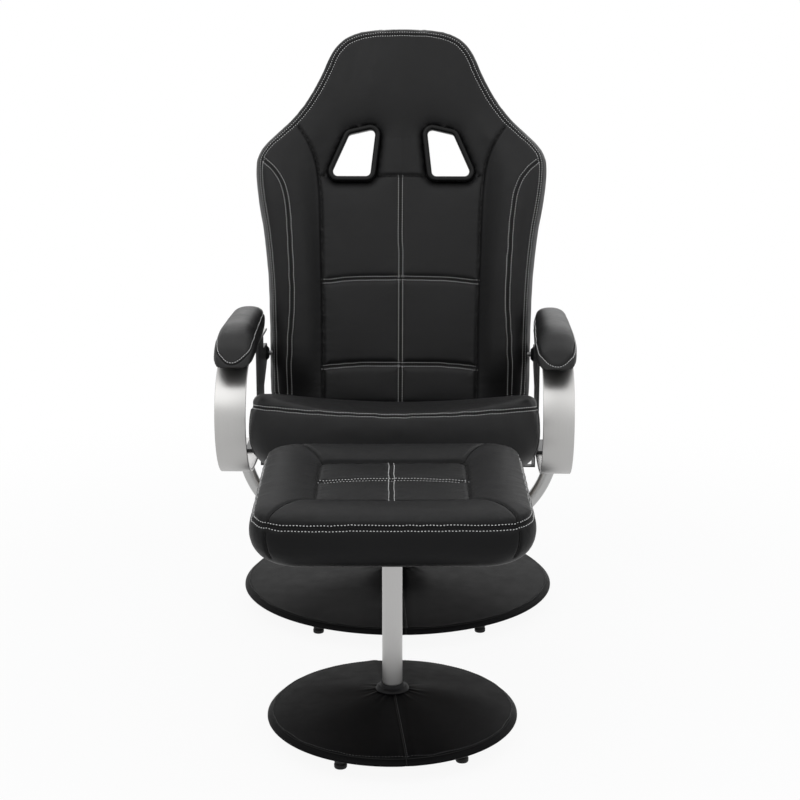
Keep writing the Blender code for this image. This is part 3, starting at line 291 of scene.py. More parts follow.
def dress(name, mesh, look, body, sharp=None):
    """A smooth-shaded piece of the visual model that rides on a body."""
    mesh.shade_smooth()
    if sharp:
        mesh.set_sharp_from_angle(angle=math.radians(sharp))
    mesh.materials.clear()
    mesh.materials.append(look)
    piece = placed(name, mesh)
    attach(piece, body)
    return piece


def outward(mesh, merge=None):
    """Face every polygon outwards, after joining points that lie together."""
    work = bmesh.new()
    work.from_mesh(mesh)
    if merge:
        bmesh.ops.remove_doubles(work, verts=work.verts, dist=merge)
    bmesh.ops.recalc_face_normals(work, faces=work.faces)
    work.to_mesh(mesh)
    work.free()
    return mesh


def walls(rings, sides, closed=False, strip=False):
    """Quads from ring to ring; an open row of rings gets end faces, a strip isn't a ring."""
    faces = []
    for r in range(rings if closed else rings - 1):
        a, b = r * sides, (r + 1) % rings * sides
        for k in range(sides - 1 if strip else sides):
            m = (k + 1) % sides
            faces.append((a + k, a + m, b + m, b + k))
    if not closed:
        faces.append(tuple(range(sides))[::-1])
        faces.append(tuple(range((rings - 1) * sides, rings * sides)))
    return faces


def read(items, key, width, kind=float):
    """One value of every vertex or edge, as rows of an array."""
    flat = np.empty(len(items) * width, kind)
    items.foreach_get(key, flat)
    return flat.reshape(-1, width)


def coords(mesh):
    return read(mesh.vertices, "co", 3)


def normals(mesh):
    return read(mesh.vertices, "normal", 3)


def edges_of(mesh):
    return read(mesh.edges, "vertices", 2, np.int64)


def set_coords(mesh, points):
    mesh.vertices.foreach_set("co", np.ascontiguousarray(points, np.float64).ravel())
    mesh.update()


def moved(matrix, points):
    rows = np.array(matrix)
    return points @ rows[:3, :3].T + rows[:3, 3]


def bell(distance, width):
    return np.exp(-((distance / width) ** 2))


def rise(values, start, span):
    """From 0 at the start to 1 a span further; a negative span runs downwards."""
    return np.clip((values - start) / span, 0, 1)


def relax(points, edges, rounds, forward=0.5, backward=-0.52):
    """Taubin smoothing, which rounds facets and keeps the volume."""
    count = np.bincount(edges.ravel(), minlength=len(points))[:, None].clip(1)
    for step in range(rounds * 2):
        total = np.zeros_like(points)
        for axis in range(3):
            total[:, axis] = (
                np.bincount(edges[:, 0], points[edges[:, 1], axis], len(points))
                + np.bincount(edges[:, 1], points[edges[:, 0], axis], len(points))
            )
        points = points + (total / count - points) * (forward if step % 2 == 0 else backward)
    return points


def evaluated(piece):
    graph = bpy.context.evaluated_depsgraph_get()
    return bpy.data.meshes.new_from_object(piece.evaluated_get(graph))


def remeshed(mesh, voxel, rounds, tools=()):
    """Even quads over a closed form, with optional cuts made first."""
    piece = placed("remesh_work", mesh)
    for tool in tools:
        cut = piece.modifiers.new("cut", "BOOLEAN")
        cut.object, cut.operation, cut.solver = tool, "DIFFERENCE", "EXACT"
    even = piece.modifiers.new("even", "REMESH")
    even.mode, even.voxel_size, even.use_smooth_shade = "VOXEL", voxel, True
    result = evaluated(piece)
    for item in (piece, *tools):
        bpy.data.objects.remove(item)
    set_coords(result, relax(coords(result), edges_of(result), rounds))
    return result


def finer(mesh):
    """The form subdivided once."""
    piece = placed("finer_work", mesh)
    sub = piece.modifiers.new("sub", "SUBSURF")
    sub.levels = sub.render_levels = 1
    result = evaluated(piece)
    bpy.data.objects.remove(piece)
    return result


CLOTH_FRAMES, CLOTH_STIFF, HOLD_STEPS = 20, 15.0, 10
FOLDS_KEPT = 0.18


def inflate(mesh, hold, pressure, cap):
    """Swell a closed form as cloth under pressure, held where it is sewn down."""
    before = coords(mesh)
    piece = placed("cloth_work", mesh)
    group = piece.vertex_groups.new(name="sewn")
    steps = np.round(hold * HOLD_STEPS).astype(int)
    for step in range(1, HOLD_STEPS + 1):
        chosen = np.nonzero(steps == step)[0]
        if len(chosen):
            group.add([int(i) for i in chosen], step / HOLD_STEPS, "REPLACE")
    cloth = piece.modifiers.new("cloth", "CLOTH")
    rules = cloth.settings
    rules.quality = 4
    rules.mass = 0.25
    rules.tension_stiffness = rules.compression_stiffness = CLOTH_STIFF
    rules.shear_stiffness = CLOTH_STIFF / 2
    rules.bending_stiffness = 0.6
    rules.use_pressure = True
    rules.uniform_pressure_force = pressure
    rules.vertex_group_mass = "sewn"
    rules.effector_weights.gravity = 0
    cloth.collision_settings.use_collision = False
    cloth.point_cache.frame_start = 1
    cloth.point_cache.frame_end = CLOTH_FRAMES
    for number in range(1, CLOTH_FRAMES + 1):
        scene.frame_set(number)
    after = coords(evaluated(piece))
    bpy.data.objects.remove(piece)
    scene.frame_set(1)
    move = after - before
    size = np.linalg.norm(move, axis=1)[:, None]
    move *= cap * np.tanh(size / cap) / np.maximum(size, 1e-9)
    move *= (1 - hold)[:, None]
    soft = relax(move, edges_of(mesh), 14, forward=0.6, backward=0.0)
    result = mesh.copy()
    set_coords(result, before + (soft + FOLDS_KEPT * (move - soft)))
    return result


def tree_of(mesh):
    return BVHTree.FromPolygons(
        [Vector(p) for p in coords(mesh)], [tuple(f.vertices) for f in mesh.polygons]
    )


SEAM_STEP, STITCH_PITCH = 0.003, 0.0049
# size and lift of the dark tube laid in each seam's crease as painted shade
CREASE_RADIUS, CREASE_LIFT = 0.0008, 0.0001


def dense(points, step=SEAM_STEP, closed=False):
    """Points at an even spacing along a line."""
    line = [Vector(p) for p in points]
    if closed:
        line.append(line[0])
    lengths = [0.0]
    for a, b in zip(line, line[1:]):
        lengths.append(lengths[-1] + (b - a).length)
    count = max(2, round(lengths[-1] / step) + 1)
    result, index = [], 0
    for i in range(count):
        goal = lengths[-1] * i / (count - 1)
        while index < len(lengths) - 2 and lengths[index + 1] < goal:
            index += 1
        span = lengths[index + 1] - lengths[index]
        share = (goal - lengths[index]) / span if span else 0
        result.append(line[index].lerp(line[index + 1], min(1, max(0, share))))
    return result[:-1] if closed else result


def curve(points, rounds, closed=False):
    """Corner-cutting of a line into a smooth curve that keeps its ends."""
    line = [Vector(p) for p in points]
    for _ in range(rounds):
        cut = []
        for a, b in zip(line, line[1:] + line[:1] if closed else line[1:]):
            cut += [a.lerp(b, 0.25), a.lerp(b, 0.75)]
        line = cut if closed else [line[0]] + cut[1:-1] + [line[-1]]
    return line


def evened(line, closed):
    """A line with its small kinks averaged out."""
    for _ in range(2):
        line = [
            p if not closed and i in (0, len(line) - 1)
            else (line[i - 1] + p * 2 + line[(i + 1) % len(line)]) / 4
            for i, p in enumerate(line)
        ]
    return line


class Seam:
    """A sewn line on a surface, with what its stitches look like."""

    def __init__(self, points, rows=(), deep=0.0022, wide=0.0065, crease=True, closed=False,
                 look=WHITE_THREAD, pucker=0.0004, smooth=2, ray=None):
        self.points = dense(curve(points, smooth, closed) if smooth else points, closed=closed)
        self.rows, self.deep, self.wide, self.pucker = rows, deep, wide, pucker
        self.crease, self.closed, self.look, self.ray = crease, closed, look, ray

    def settle(self, tree):
        """Drop the line onto a surface, straight along its ray or to the nearest point."""
        kept = []
        for p in self.points:
            hit = None
            if self.ray is not None:
                hit = tree.ray_cast(p - self.ray * 0.4, self.ray, 0.8)[0]
            kept.append(tree.find_nearest(p)[0] if hit is None else hit)
        self.points = evened(kept, self.closed)


def settle(seams, mesh):
    tree = tree_of(mesh)
    for seam in seams:
        seam.settle(tree)


def seam_field(points, seams):
    """For each point: distance to the nearest seam, its depth, width and place along it."""
    samples = [(p, seam, i) for seam in seams for i, p in enumerate(seam.points)]
    tree = KDTree(len(samples))
    for index, (p, _, _) in enumerate(samples):
        tree.insert(p, index)
    tree.balance()
    distance = np.empty(len(points))
    nearest = np.empty(len(points), np.int64)
    for i, p in enumerate(points):
        _, nearest[i], distance[i] = tree.find(p)
    values = np.array([
        (s.deep, s.wide, s.pucker, i * SEAM_STEP + 0.37 * seams.index(s)) for _, s, i in samples
    ])[nearest]
    return distance, *values.T


def seam_hold(points, seams, radius):
    """How firmly each point is sewn down."""
    return np.clip(1.25 - seam_field(points, seams)[0] / radius, 0, 1)


def store_seam_shade(mesh, near):
    """How near each point is to a seam, as a mask for the leather: painted shade darkens it there and makes it
    rougher.
    """
    stored = mesh.attributes.new("seam", "FLOAT", "POINT")
    stored.data.foreach_set("value", np.array(near, np.float32))


def sewn(mesh, seams, guard=1.0):
    """Sink the seams into a mesh and gather the leather beside them."""
    settle(seams, mesh)
    points, out = coords(mesh), normals(mesh)
    distance, deep, wide, pucker, along = seam_field(points, seams)
    gather = np.sin(along * 430 + 2.2 * np.sin(along * 61)) * 0.6
    gather += np.sin(along * 190 + 1.7 * np.sin(along * 37)) * 0.8
    reach = np.exp(-distance / 0.013) * (1 - bell(distance, 0.004))
    move = (-deep * bell(distance, wide) + pucker * gather * reach) * guard
    set_coords(mesh, points + out * move[:, None])
    # mask of painted shade along the seams
    store_seam_shade(mesh, bell(distance, 0.0026))
    return mesh


def capsule(length, radius, sides=6):
    """One stitch: a short bead that dives at both ends."""
    rings = ((-0.5, 0.35, -0.9), (-0.38, 0.85, -0.25), (-0.15, 1.0, 0.1), (0.15, 1.0, 0.1),
             (0.38, 0.85, -0.25), (0.5, 0.35, -0.9))
    verts = []
    for place, size, lift in rings:
        for k in range(sides):
            angle = math.tau * k / sides
            verts.append((place * length, size * radius * math.cos(angle),
                          lift * radius + size * radius * math.sin(angle)))
    return np.array(verts), walls(len(rings), sides)


def tube(points, radius, sides, closed):
    """Round tube along a list of points."""
    verts, side, count = [], None, len(points)
    for i, p in enumerate(points):
        ahead = points[(i + 1) % count] if closed or i < count - 1 else p
        behind = points[i - 1] if closed or i > 0 else p
        along = (ahead - behind).normalized()
        if side is None:
            side = along.orthogonal().normalized()
        side = (side - along * side.dot(along)).normalized()
        up = along.cross(side)
        for k in range(sides):
            angle = math.tau * k / sides
            verts.append(p + side * radius * math.cos(angle) + up * radius * math.sin(angle))
    return verts, walls(count, sides, closed)


def join(whole, verts, faces):
    """Append a small mesh to a growing one."""
    start = len(whole[0])
    whole[0].extend(verts)
    whole[1].extend(tuple(i + start for i in face) for face in faces)


def stitch(prefix, mesh, seams, body, slot, length=0.0026, radius=0.00064):
    """Stitches beside each seam, and a dark tube in it as painted shade of its crease."""
    tree = tree_of(mesh)
    bead, bead_faces = capsule(length, radius)
    threads, creases = {}, ([], [])
    for seam in seams:
        spots = [tree.find_nearest(p)[:2] for p in seam.points]
        count = len(spots)
        at = [i % count if seam.closed else min(count - 1, max(0, i)) for i in range(-3, count + 3)]
        smooth = []
        for i, (spot, _) in enumerate(spots):
            total = sum((spots[j][1] for j in at[i:i + 7]), Vector())
            smooth.append((spot, total.normalized()))
        # a dark tube along the crease: painted shade where the groove is too narrow to shade itself
        if seam.crease:
            line = [spot + normal * CREASE_LIFT for spot, normal in smooth]
            join(creases, *tube(line, CREASE_RADIUS, 6, seam.closed))
        for shift in seam.rows:
            row = []
            for i, (spot, normal) in enumerate(smooth):
                along = smooth[at[i + 4]][0] - smooth[at[i + 2]][0]
                across = along.normalized().cross(normal)
                row.append(tree.find_nearest(spot + across * shift)[0])
            even = dense(evened(row, seam.closed), STITCH_PITCH, seam.closed)
            whole = threads.setdefault(seam.look.name, ([], []))
            for a, b in zip(even, even[1:]):
                spot, normal = tree.find_nearest((a + b) / 2)[:2]
                along = (b - a).normalized()
                across = normal.cross(along).normalized()
                up = along.cross(across)
                along = (along + across * random.uniform(-0.09, 0.09)).normalized()
                basis = np.array([along, up.cross(along), up])
                laid = bead @ basis + np.array(spot + up * radius * 0.45)
                join(whole, laid.tolist(), bead_faces)
    for key, whole in threads.items():
        colour = key.split("_")[1]
        make(f"{prefix}_stitches_{colour}", *whole, bpy.data.materials[key], body, slot)
    if creases[0]:
        make(prefix + "_seam_lines", *creases, SEAM_SHADE, body, slot)


def upholster(name, prefix, mesh, seams, look, body, guard=1.0, **bead):
    """Leather sewn along its seams, with its thread."""
    piece = dress(name, sewn(mesh, seams, guard), look, body)
    stitch(prefix, piece.data, seams, body, "black_leather", **bead)
    return piece


def smooth_table(table, places, spread):
    """A table's columns read at many places, with its corners rounded."""
    columns = np.array(table).T
    xs = columns[0]
    result = []
    for ys in columns[1:]:
        total = weights = 0
        for k in range(-3, 4):
            weight = math.exp(-(k / 2.0) ** 2)
            near = np.clip(places + k * spread / 3, xs[0], xs[-1])
            total = total + weight * np.interp(near, xs, ys)
            weights += weight
        result.append(total / weights)
    return result


def spun(place, radius, angle, height):
    """A point round an upright axis."""
    out = Vector((radius * math.cos(angle), radius * math.sin(angle), height))
    return Vector(place) + out


def turned(name, profile, look, body, steps, place):
    """Revolved piece; the profile's points are (radius, height)."""
    verts = [
        spun(place, radius, math.tau * k / steps, height)
        for k in range(steps) for radius, height in profile
    ]
    mesh = new_mesh(name, verts, walls(steps, len(profile), closed=True, strip=True))
    return dress(name, outward(mesh, 1e-6), look, body, 40)


def lofted(loops, ring=False):
    verts = [p for loop in loops for p in loop]
    return outward(new_mesh("loft", verts, walls(len(loops), len(loops[0]), ring)))


# ---------------------------------------------------------------- backrest
BACK_LEAN = math.radians(14)
BACK = Matrix.Translation(PIVOT) @ Matrix.Rotation(-BACK_LEAN, 4, "X")
BACK_OUT = (BACK.to_3x3() @ Vector((0, 1, 0))).normalized()
BACK_BELOW, BACK_HEIGHT = 0.103, 0.758
BACK_FACE, BACK_REAR = 0.016, 0.072
BACK_TUCK, BACK_TUCK_HEIGHT = 0.036, 0.045
BACK_EDGE, BACK_FOOT_EDGE = 0.019, 0.012
SHOULDER, WAIST = 0.292, 0.260
BACK_OUTLINE = (
    (0.0000, 0.852), (0.0110, 0.880), (0.0300, 0.893), (0.0600, 0.896),
    (0.1360, 0.896), (0.2776, 0.904), (0.3654, 0.917), (0.4533, 0.941),
    (0.4972, 0.961), (0.5412, 0.981), (0.5851, 0.995), (0.6212, 1.000),
    (0.6485, 0.997), (0.6700, 0.978), (0.6925, 0.938), (0.7130, 0.885),
    (0.7364, 0.820), (0.7608, 0.755), (0.7852, 0.703), (0.8165, 0.644),
    (0.8536, 0.590), (0.8926, 0.540), (0.9268, 0.505), (0.9561, 0.458),
    (0.9780, 0.396), (0.9905, 0.325), (0.9970, 0.250), (1.0000, 0.175),
)
# Shares of the height with the wings' swell, and of the width with wings' and puffs' weight.
WINGS = (
    (0.000, 0.00), (0.045, 0.20), (0.090, 0.62), (0.140, 0.82), (0.317, 1.00), (0.531, 1.00),
    (0.609, 0.86), (0.688, 0.42), (0.736, 0.12), (0.785, 0.00), (1.000, 0.00),
)
FRONT = (
    (0.00, 0.00, 1.00), (0.34, 0.00, 0.80), (0.565, 0.00, 0.28),
    (0.600, 0.10, 0.10), (0.70, 0.66, 0.05), (0.80, 0.95, 0.00), (0.88, 1.00, 0.00),
    (0.940, 0.90, 0.00), (0.972, 0.72, 0.00), (0.988, 0.48, 0.00), (1.00, 0.20, 0.00),
)
PUFFS = (
    (0.000, 0.00), (0.317, 0.60), (0.561, 0.20), (0.629, 0.00), (0.727, 0.00), (0.805, 0.80),
    (0.883, 1.00), (1.000, 0.60),
)
WING_HEIGHT, HEAD_PUFF = 0.050, 0.012
HARNESS = ((0.052, 0.452), (0.104, 0.440), (0.141, 0.358), (0.063, 0.358))
HARNESS_CORNER, HARNESS_CUT = 0.009, 0.0112


def back_half(share):
    """Half the back's width at a share of its height."""
    shoulder = SHOULDER * np.interp(share, *zip(*BACK_OUTLINE))
    blend = np.clip((0.61 - share) / 0.61, 0, 1)
    return shoulder + (WAIST - SHOULDER * 0.896) * np.minimum(1, 2 * blend)


outline = curve([
    Vector((float(back_half(share)), 0, share * BACK_HEIGHT - BACK_BELOW))
    for share, _ in BACK_OUTLINE
], 2)


def setback(distance, radius):
    """How far a round edge falls back at a distance from the rim."""
    gap = np.clip(radius - distance, 0, radius)
    return radius - np.sqrt(np.maximum(radius * radius - gap * gap, 0))


def harness_loop(sign, grow, y, steps=8):
    """Rounded outline of a harness opening, in the back's own plane."""
    corners = [Vector(c) for c in HARNESS]
    radius = HARNESS_CORNER + grow
    points = []
    for i, corner in enumerate(corners):
        back = (corners[i - 1] - corner).normalized()
        ahead = (corners[(i + 1) % 4] - corner).normalized()
        half = back.angle(ahead) / 2
        centre = corner + (back + ahead).normalized() * ((radius - grow) / math.sin(half))
        ends = []
        for edge, other in ((back, ahead), (ahead, back)):
            side = Vector((-edge.y, edge.x))
            side = side if side.dot(other) < 0 else -side
            ends.append(math.atan2(side.y, side.x))
        sweep = (ends[1] - ends[0] + math.pi) % math.tau - math.pi
        for k in range(steps + 1):
            angle = ends[0] + sweep * k / steps
            points.append(Vector((
                sign * (centre.x + radius * math.cos(angle)), y,
                centre.y + radius * math.sin(angle),
            )))
    return points


def in_world(points):
    return [BACK @ p for p in points]


def inset_line(points, inset):
    """A line moved sideways towards the middle of the back."""
    result = []
    for i, p in enumerate(points):
        a, b = points[max(0, i - 1)], points[min(len(points) - 1, i + 1)]
        along = (b - a).normalized()
        result.append(p + Vector((-along.z, 0, along.x)) * inset)
    return result


def back_mesh():
    """The bucket's closed form, lofted upwards through its own level sections."""
    stations = []
    for a, b in zip(outline, outline[1:]):
        parts = max(1, round((b - a).length / 0.010))
        stations += [a.lerp(b, k / parts) for k in range(parts)]
    stations.append(outline[-1])
    crown = Vector((0, 0, outline[-1].z))
    rim = np.array([[p.x, p.z] for p in dense(outline + [crown], 0.004)])
    u = np.sin(np.linspace(0, math.pi / 2, 40)) * 0.55 + np.linspace(0, 1, 40) * 0.45
    u = u / u[-1]
    wing_weight, puff_weight = smooth_table(FRONT, u, 0.035)
    raised = np.array([p.z for p in stations]) + BACK_BELOW
    wings = WING_HEIGHT * smooth_table(WINGS, raised / BACK_HEIGHT, 0.05)[0]
    puffs = HEAD_PUFF * smooth_table(PUFFS, raised / BACK_HEIGHT, 0.06)[0]
    lows = setback(raised, BACK_FOOT_EDGE)
    loops = []
    for p, up, wing, puff, low in zip(stations, raised, wings, puffs, lows):
        half, z = p.x, p.z
        x = half * u
        away = np.sqrt((rim[None, :, 0] - x[:, None]) ** 2 + (rim[None, :, 1] - z) ** 2).min(1)
        rear = BACK_REAR - BACK_TUCK * max(0, 1 - up / BACK_TUCK_HEIGHT)
        y = BACK_FACE - wing * wing_weight - puff * puff_weight + setback(away, BACK_EDGE) + low
        right = [Vector((a, b, z)) for a, b in zip(x, np.minimum(y, rear - 0.006))]
        right += [
            Vector((half + 0.0002, (right[-1].y + rear) / 2, z)),
            Vector((half - 0.0015, rear - 0.003, z)), Vector((half - 0.006, rear, z)),
        ]
        left = [Vector((-q.x, q.y, q.z)) for q in reversed(right[1:])]
        loops.append(in_world(right + [Vector((0, rear, z))] + left))
    return lofted(loops)


def on_back(points):
    return [BACK @ Vector((x, BACK_FACE - 0.02, z)) for x, z in points]


def mirrored(points):
    return [(-x, z) for x, z in points]


def across_back(*half):
    """A line over the whole width from its right half."""
    return on_back(mirrored(half)[::-1] + list(half))


def back_seams():
    edge = in_world(p for p in inset_line(outline, 0.0125) if p.z > -0.095)
    rim = edge + [Vector((-p.x, p.y, p.z)) for p in reversed(edge)]
    panel = [
        (0.2060, 0.4560), (0.1880, 0.4310), (0.1745, 0.4040), (0.1665, 0.3778),
        (0.1620, 0.3415), (0.1590, 0.2870), (0.1560, 0.1910), (0.1530, 0.0957),
        (0.1520, -0.0170), (0.1535, -0.0980),
    ]
    bolster = [
        (0.2745, 0.3860), (0.2520, 0.3665), (0.2345, 0.3420), (0.2245, 0.3060),
        (0.2195, 0.2600), (0.2165, 0.2000), (0.2140, 0.1500), (0.2125, 0.1100),
        (0.2150, 0.0600), (0.2185, 0.0000), (0.2210, -0.0980),
    ]
    ear = [(0.1545, 0.3597), (0.1632, 0.3600)]
    neck = across_back((0.02, 0.3590), (0.0500, 0.3595))
    upper = across_back((0.04, 0.1520), (0.1, 0.1505), (0.1545, 0.1440))
    lower = across_back((0.04, -0.0207), (0.1, -0.0215), (0.1520, -0.0275))
    middle = [(-0.0008, 0.3590), (0, 0.20), (0.0012, 0.10), (0.0015, 0.0), (0.0015, -0.0980)]
    kinds = [
        (rim, (-0.0046, 0.0046), 0.0028, 0.0046, 0.0003, 2),
        (neck, (), 0.0036, 0.0034, 0.0004, 2),
        (upper, (-0.0044, 0.0044), 0.0046, 0.0070, 0.0004, 2),
        (lower, (-0.0044, 0.0044), 0.0050, 0.0075, 0.0005, 2),
        (on_back(middle), (-0.0047, 0.0047), 0.0036, 0.0062, 0.0003, 2),
    ]
    for turn in (list, mirrored):
        kinds += [
            (on_back(turn(panel)), (), 0.0046, 0.0036, 0.0003, 2),
            (on_back(turn(bolster)), (-0.0052, 0.0052), 0.0032, 0.0050, 0.0003, 2),
            (on_back(turn(ear)), (), 0.0036, 0.0034, 0.0003, 0),
        ]
    return [
        Seam(line, rows, deep, wide, pucker=pucker, smooth=smooth, ray=BACK_OUT)
        for line, rows, deep, wide, pucker, smooth in kinds
    ]


def build_back():
    tools = []
    for _, sign in SIDES:
        ends = [in_world(harness_loop(sign, HARNESS_CUT, y)) for y in (-0.2, 0.2)]
        tools.append(placed("cutter", lofted(ends)))
    mesh = remeshed(back_mesh(), 0.0046, 4, tools)
    seams = back_seams()
    settle(seams, mesh)
    holes = [
        p for _, sign in SIDES
        for p in in_world(dense(harness_loop(sign, HARNESS_CUT + 0.0003, 0.0), 0.004, True))
    ]
    ring = KDTree(len(holes))
    for i, p in enumerate(holes):
        ring.insert(p, i)
    ring.balance()

    def hole_distance(local):
        """Distance to the openings' rims, measured along the back's own plane."""
        return np.array([ring.find(p)[2] for p in moved(BACK, local * (1, 0, 1))])

    points = coords(mesh)
    local = moved(BACK.inverted(), points)
    hold = np.maximum(seam_hold(points, seams, 0.008), rise(local[:, 1], 0.030, 0.012))
    hold = np.maximum(hold, np.clip(1.3 - hole_distance(local) / 0.008, 0, 1))
    mesh = finer(inflate(mesh, hold, 3.5, 0.0060))
    points = coords(mesh)
    local = moved(BACK.inverted(), points)
    near = hole_distance(local)
    sink = (0.0050 * bell(near, 0.012) + 0.0032 * bell(near, 0.034)) * rise(local[:, 1], 0.045, -0.02)
    set_coords(mesh, points + np.array(BACK_OUT)[None, :] * sink[:, None])
    guard = rise(local[:, 1], 0.062, -0.01)
    piece = upholster("back_upholstery", "back", mesh, seams, LEATHER, "backrest", guard)
    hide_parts("back_cushion")


BEZEL_PROFILE = (
    (0.0116, 0.068), (0.0118, 0.0185), (0.0112, 0.0142), (0.0096, 0.0116),
    (0.0074, 0.0106), (0.0048, 0.0108), (0.0028, 0.0120), (0.0014, 0.0142),
    (0.0004, 0.0180), (0.0012, 0.0260), (0.0060, 0.052), (0.0082, 0.068),
)


def build_bezels():
    for side, sign in SIDES:
        loops = [in_world(harness_loop(sign, grow, y, 12)) for grow, y in BEZEL_PROFILE]
        mesh = lofted(loops, ring=True)
        piece = dress("harness_ring_" + side, mesh, BEZEL_PLASTIC, "backrest", 50)
        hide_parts("harness_bezel_" + side)


def build_shell():
    """The rear panel, its top drawn down a little behind the cushion's crown."""
    mesh = finer(remeshed(frame["nodes"]["back_shell"].data.copy(), 0.0048, 8))
    points = coords(mesh)
    local = moved(BACK.inverted(), points)
    lower = 0.013 * rise(local[:, 2], 0.50, 0.15) ** 2
    set_coords(mesh, points - np.array(BACK)[:3, 2] * lower[:, None])
    behind = 0.12
    edge = [Vector((p.x, behind, p.z)) for p in inset_line(outline, 0.026) if p.z > -0.035]
    rim = edge + [Vector((-p.x, p.y, p.z)) for p in reversed(edge)]
    kind = {"look": BLACK_THREAD, "closed": True, "smooth": 0, "ray": -BACK_OUT}
    seams = [Seam(in_world(rim), (-0.0035, 0.0035), 0.0018, 0.0050, **kind)]
    for _, sign in SIDES:
        loop = in_world(harness_loop(sign, 0.0245, behind, 10))
        seams.append(Seam(loop, (0.0,), 0.0012, 0.0045, crease=False, **kind))
    guard = rise(local[:, 1], 0.074, 0.006)
    piece = upholster("back_rear_panel", "back_rear", mesh, seams, LEATHER, "backrest", guard)
    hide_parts("back_shell")


# ---------------------------------------------------------------- seat
SEAT = (
    Matrix.Translation((0, CHAIR_Y - 0.0858, 0.2975))
    @ Matrix.Rotation(-math.radians(13), 4, "X")
)
SEAT_HALF_X, SEAT_HALF_Y = 0.26225, 0.187
SEAT_CORNER, SEAT_SEAM, SEAT_BROW = 0.048, 0.0855, 0.1075
SEAT_LEVELS = (
    (0.0492, 0.000), (0.0480, -0.0075), (0.0425, -0.0110), (0.034, -0.0092),
    (0.024, -0.0030), (0.015, 0.0055), (0.0075, 0.0165),
    (0.0030, 0.030), (0.0006, 0.044), (0.0, 0.056), (0.0008, 0.068), (0.0026, 0.078),
    (0.0044, SEAT_SEAM), (0.0062, 0.092), (0.0100, 0.099), (0.0170, 0.1045), (0.0290, SEAT_BROW),
)


def rounded(half_x, half_y, corner, steps=10, sides=14):
    """Points round a rectangle with arc corners, evenly laid along its sides."""
    corner = min(corner, half_x - 0.001, half_y - 0.001)
    centres = ((1, 1), (-1, 1), (-1, -1), (1, -1))

    def on_arc(index, share):
        sx, sy = centres[index % 4]
        angle = math.pi / 2 * (index + share)
        return Vector((sx * (half_x - corner) + corner * math.cos(angle),
                       sy * (half_y - corner) + corner * math.sin(angle), 0))

    points = []
    for index in range(4):
        points += [on_arc(index, i / steps) for i in range(steps + 1)]
        start, end = points[-1], on_arc(index + 1, 0)
        points += [start.lerp(end, i / (sides + 1)) for i in range(1, sides + 1)]
    return points


def seat_point(x, y, z):
    """A place in the seat, bowed forward at the front and dished across."""
    bow = 0.018 * max(0, -y / SEAT_HALF_Y) * (1 - (x / SEAT_HALF_X) ** 2)
    across = (x / SEAT_HALF_X) ** 2 * (1 - max(0, y / SEAT_HALF_Y))
    side = min(1, max(0, (z - 0.045) / 0.0405))
    top = min(1, max(0, (z - SEAT_SEAM) / 0.020))
    dish = across * (0.0138 * side + 0.0250 * top) + 0.0017 * side - 0.0179 * top
    fall = 0.012 * z / 0.106 * max(0, y / SEAT_HALF_Y) ** 2
    return SEAT @ Vector((x, y - bow, z + dish - fall))


def build_seat():
    rings = [
        (SEAT_HALF_X - inset, SEAT_HALF_Y - inset, max(SEAT_CORNER, 0.050 - inset), height)
        for inset, height in SEAT_LEVELS
    ]
    brow_x, brow_y = SEAT_HALF_X - SEAT_LEVELS[-1][0], SEAT_HALF_Y - SEAT_LEVELS[-1][0]
    for k in range(1, 12):
        t = k / 12
        rise_here = SEAT_BROW + 0.0175 * (1 - (1 - t) ** 2.1)
        rings.append((brow_x * (1 - t), brow_y * (1 - t), SEAT_CORNER * (1 - t), rise_here))
    mesh = remeshed(lofted([
        [seat_point(p.x, p.y, height) for p in rounded(x, y, corner, 12, 26)]
        for x, y, corner, height in rings
    ]), 0.0046, 6)
    rim = [
        seat_point(p.x, p.y, SEAT_SEAM)
        for p in rounded(SEAT_HALF_X - 0.003, SEAT_HALF_Y - 0.003, 0.046)
    ]
    seams = [Seam(rim, (-0.0038, 0.0038), 0.0036, 0.0052, closed=True, smooth=0, pucker=0.0006)]
    for _, sign in SIDES:
        line = [(0.258, -0.150, 0.012), (0.259, -0.152, 0.05), (0.257, -0.150, 0.084)]
        line = [seat_point(sign * x, y, z) for x, y, z in line]
        seams.append(Seam(line, (), 0.0026, 0.0030, pucker=0.0002))
    settle(seams, mesh)
    points = coords(mesh)
    local = moved(SEAT.inverted(), points)
    hold = seam_hold(points, seams, 0.008)
    hold = np.maximum(hold, rise(local[:, 2], 0.016, -0.01))
    hold = np.maximum(hold, 0.85 * rise(np.abs(local[:, 0]), 0.250, 0.008))
    hold = np.maximum(hold, 0.85 * rise(local[:, 1], 0.10, 0.03))
    mesh = finer(inflate(mesh, hold, 3.0, 0.0045))
    points = coords(mesh)
    x, y, z = moved(SEAT.inverted(), points).T
    wave = np.sin(x * 46 + 1.3 * np.sin(x * 17 + 0.6))
    wave += 0.6 * np.sin(x * 118 + 2.0 * np.sin(x * 31))
    band = bell(z - 0.062, 0.017) * rise(y, -0.12, -0.04)
    points = points + normals(mesh) * (0.00055 * wave * band)[:, None]
    over = np.abs(moved(SEAT.inverted(), points)[:, 0]) - (SEAT_HALF_X + 0.0025)
    points[:, 0] -= np.sign(points[:, 0]) * np.clip(over, 0, None)
    set_coords(mesh, points)
    piece = upholster("seat_upholstery", "seat", mesh, seams, LEATHER, "swivel_frame")
    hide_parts("seat_cushion")


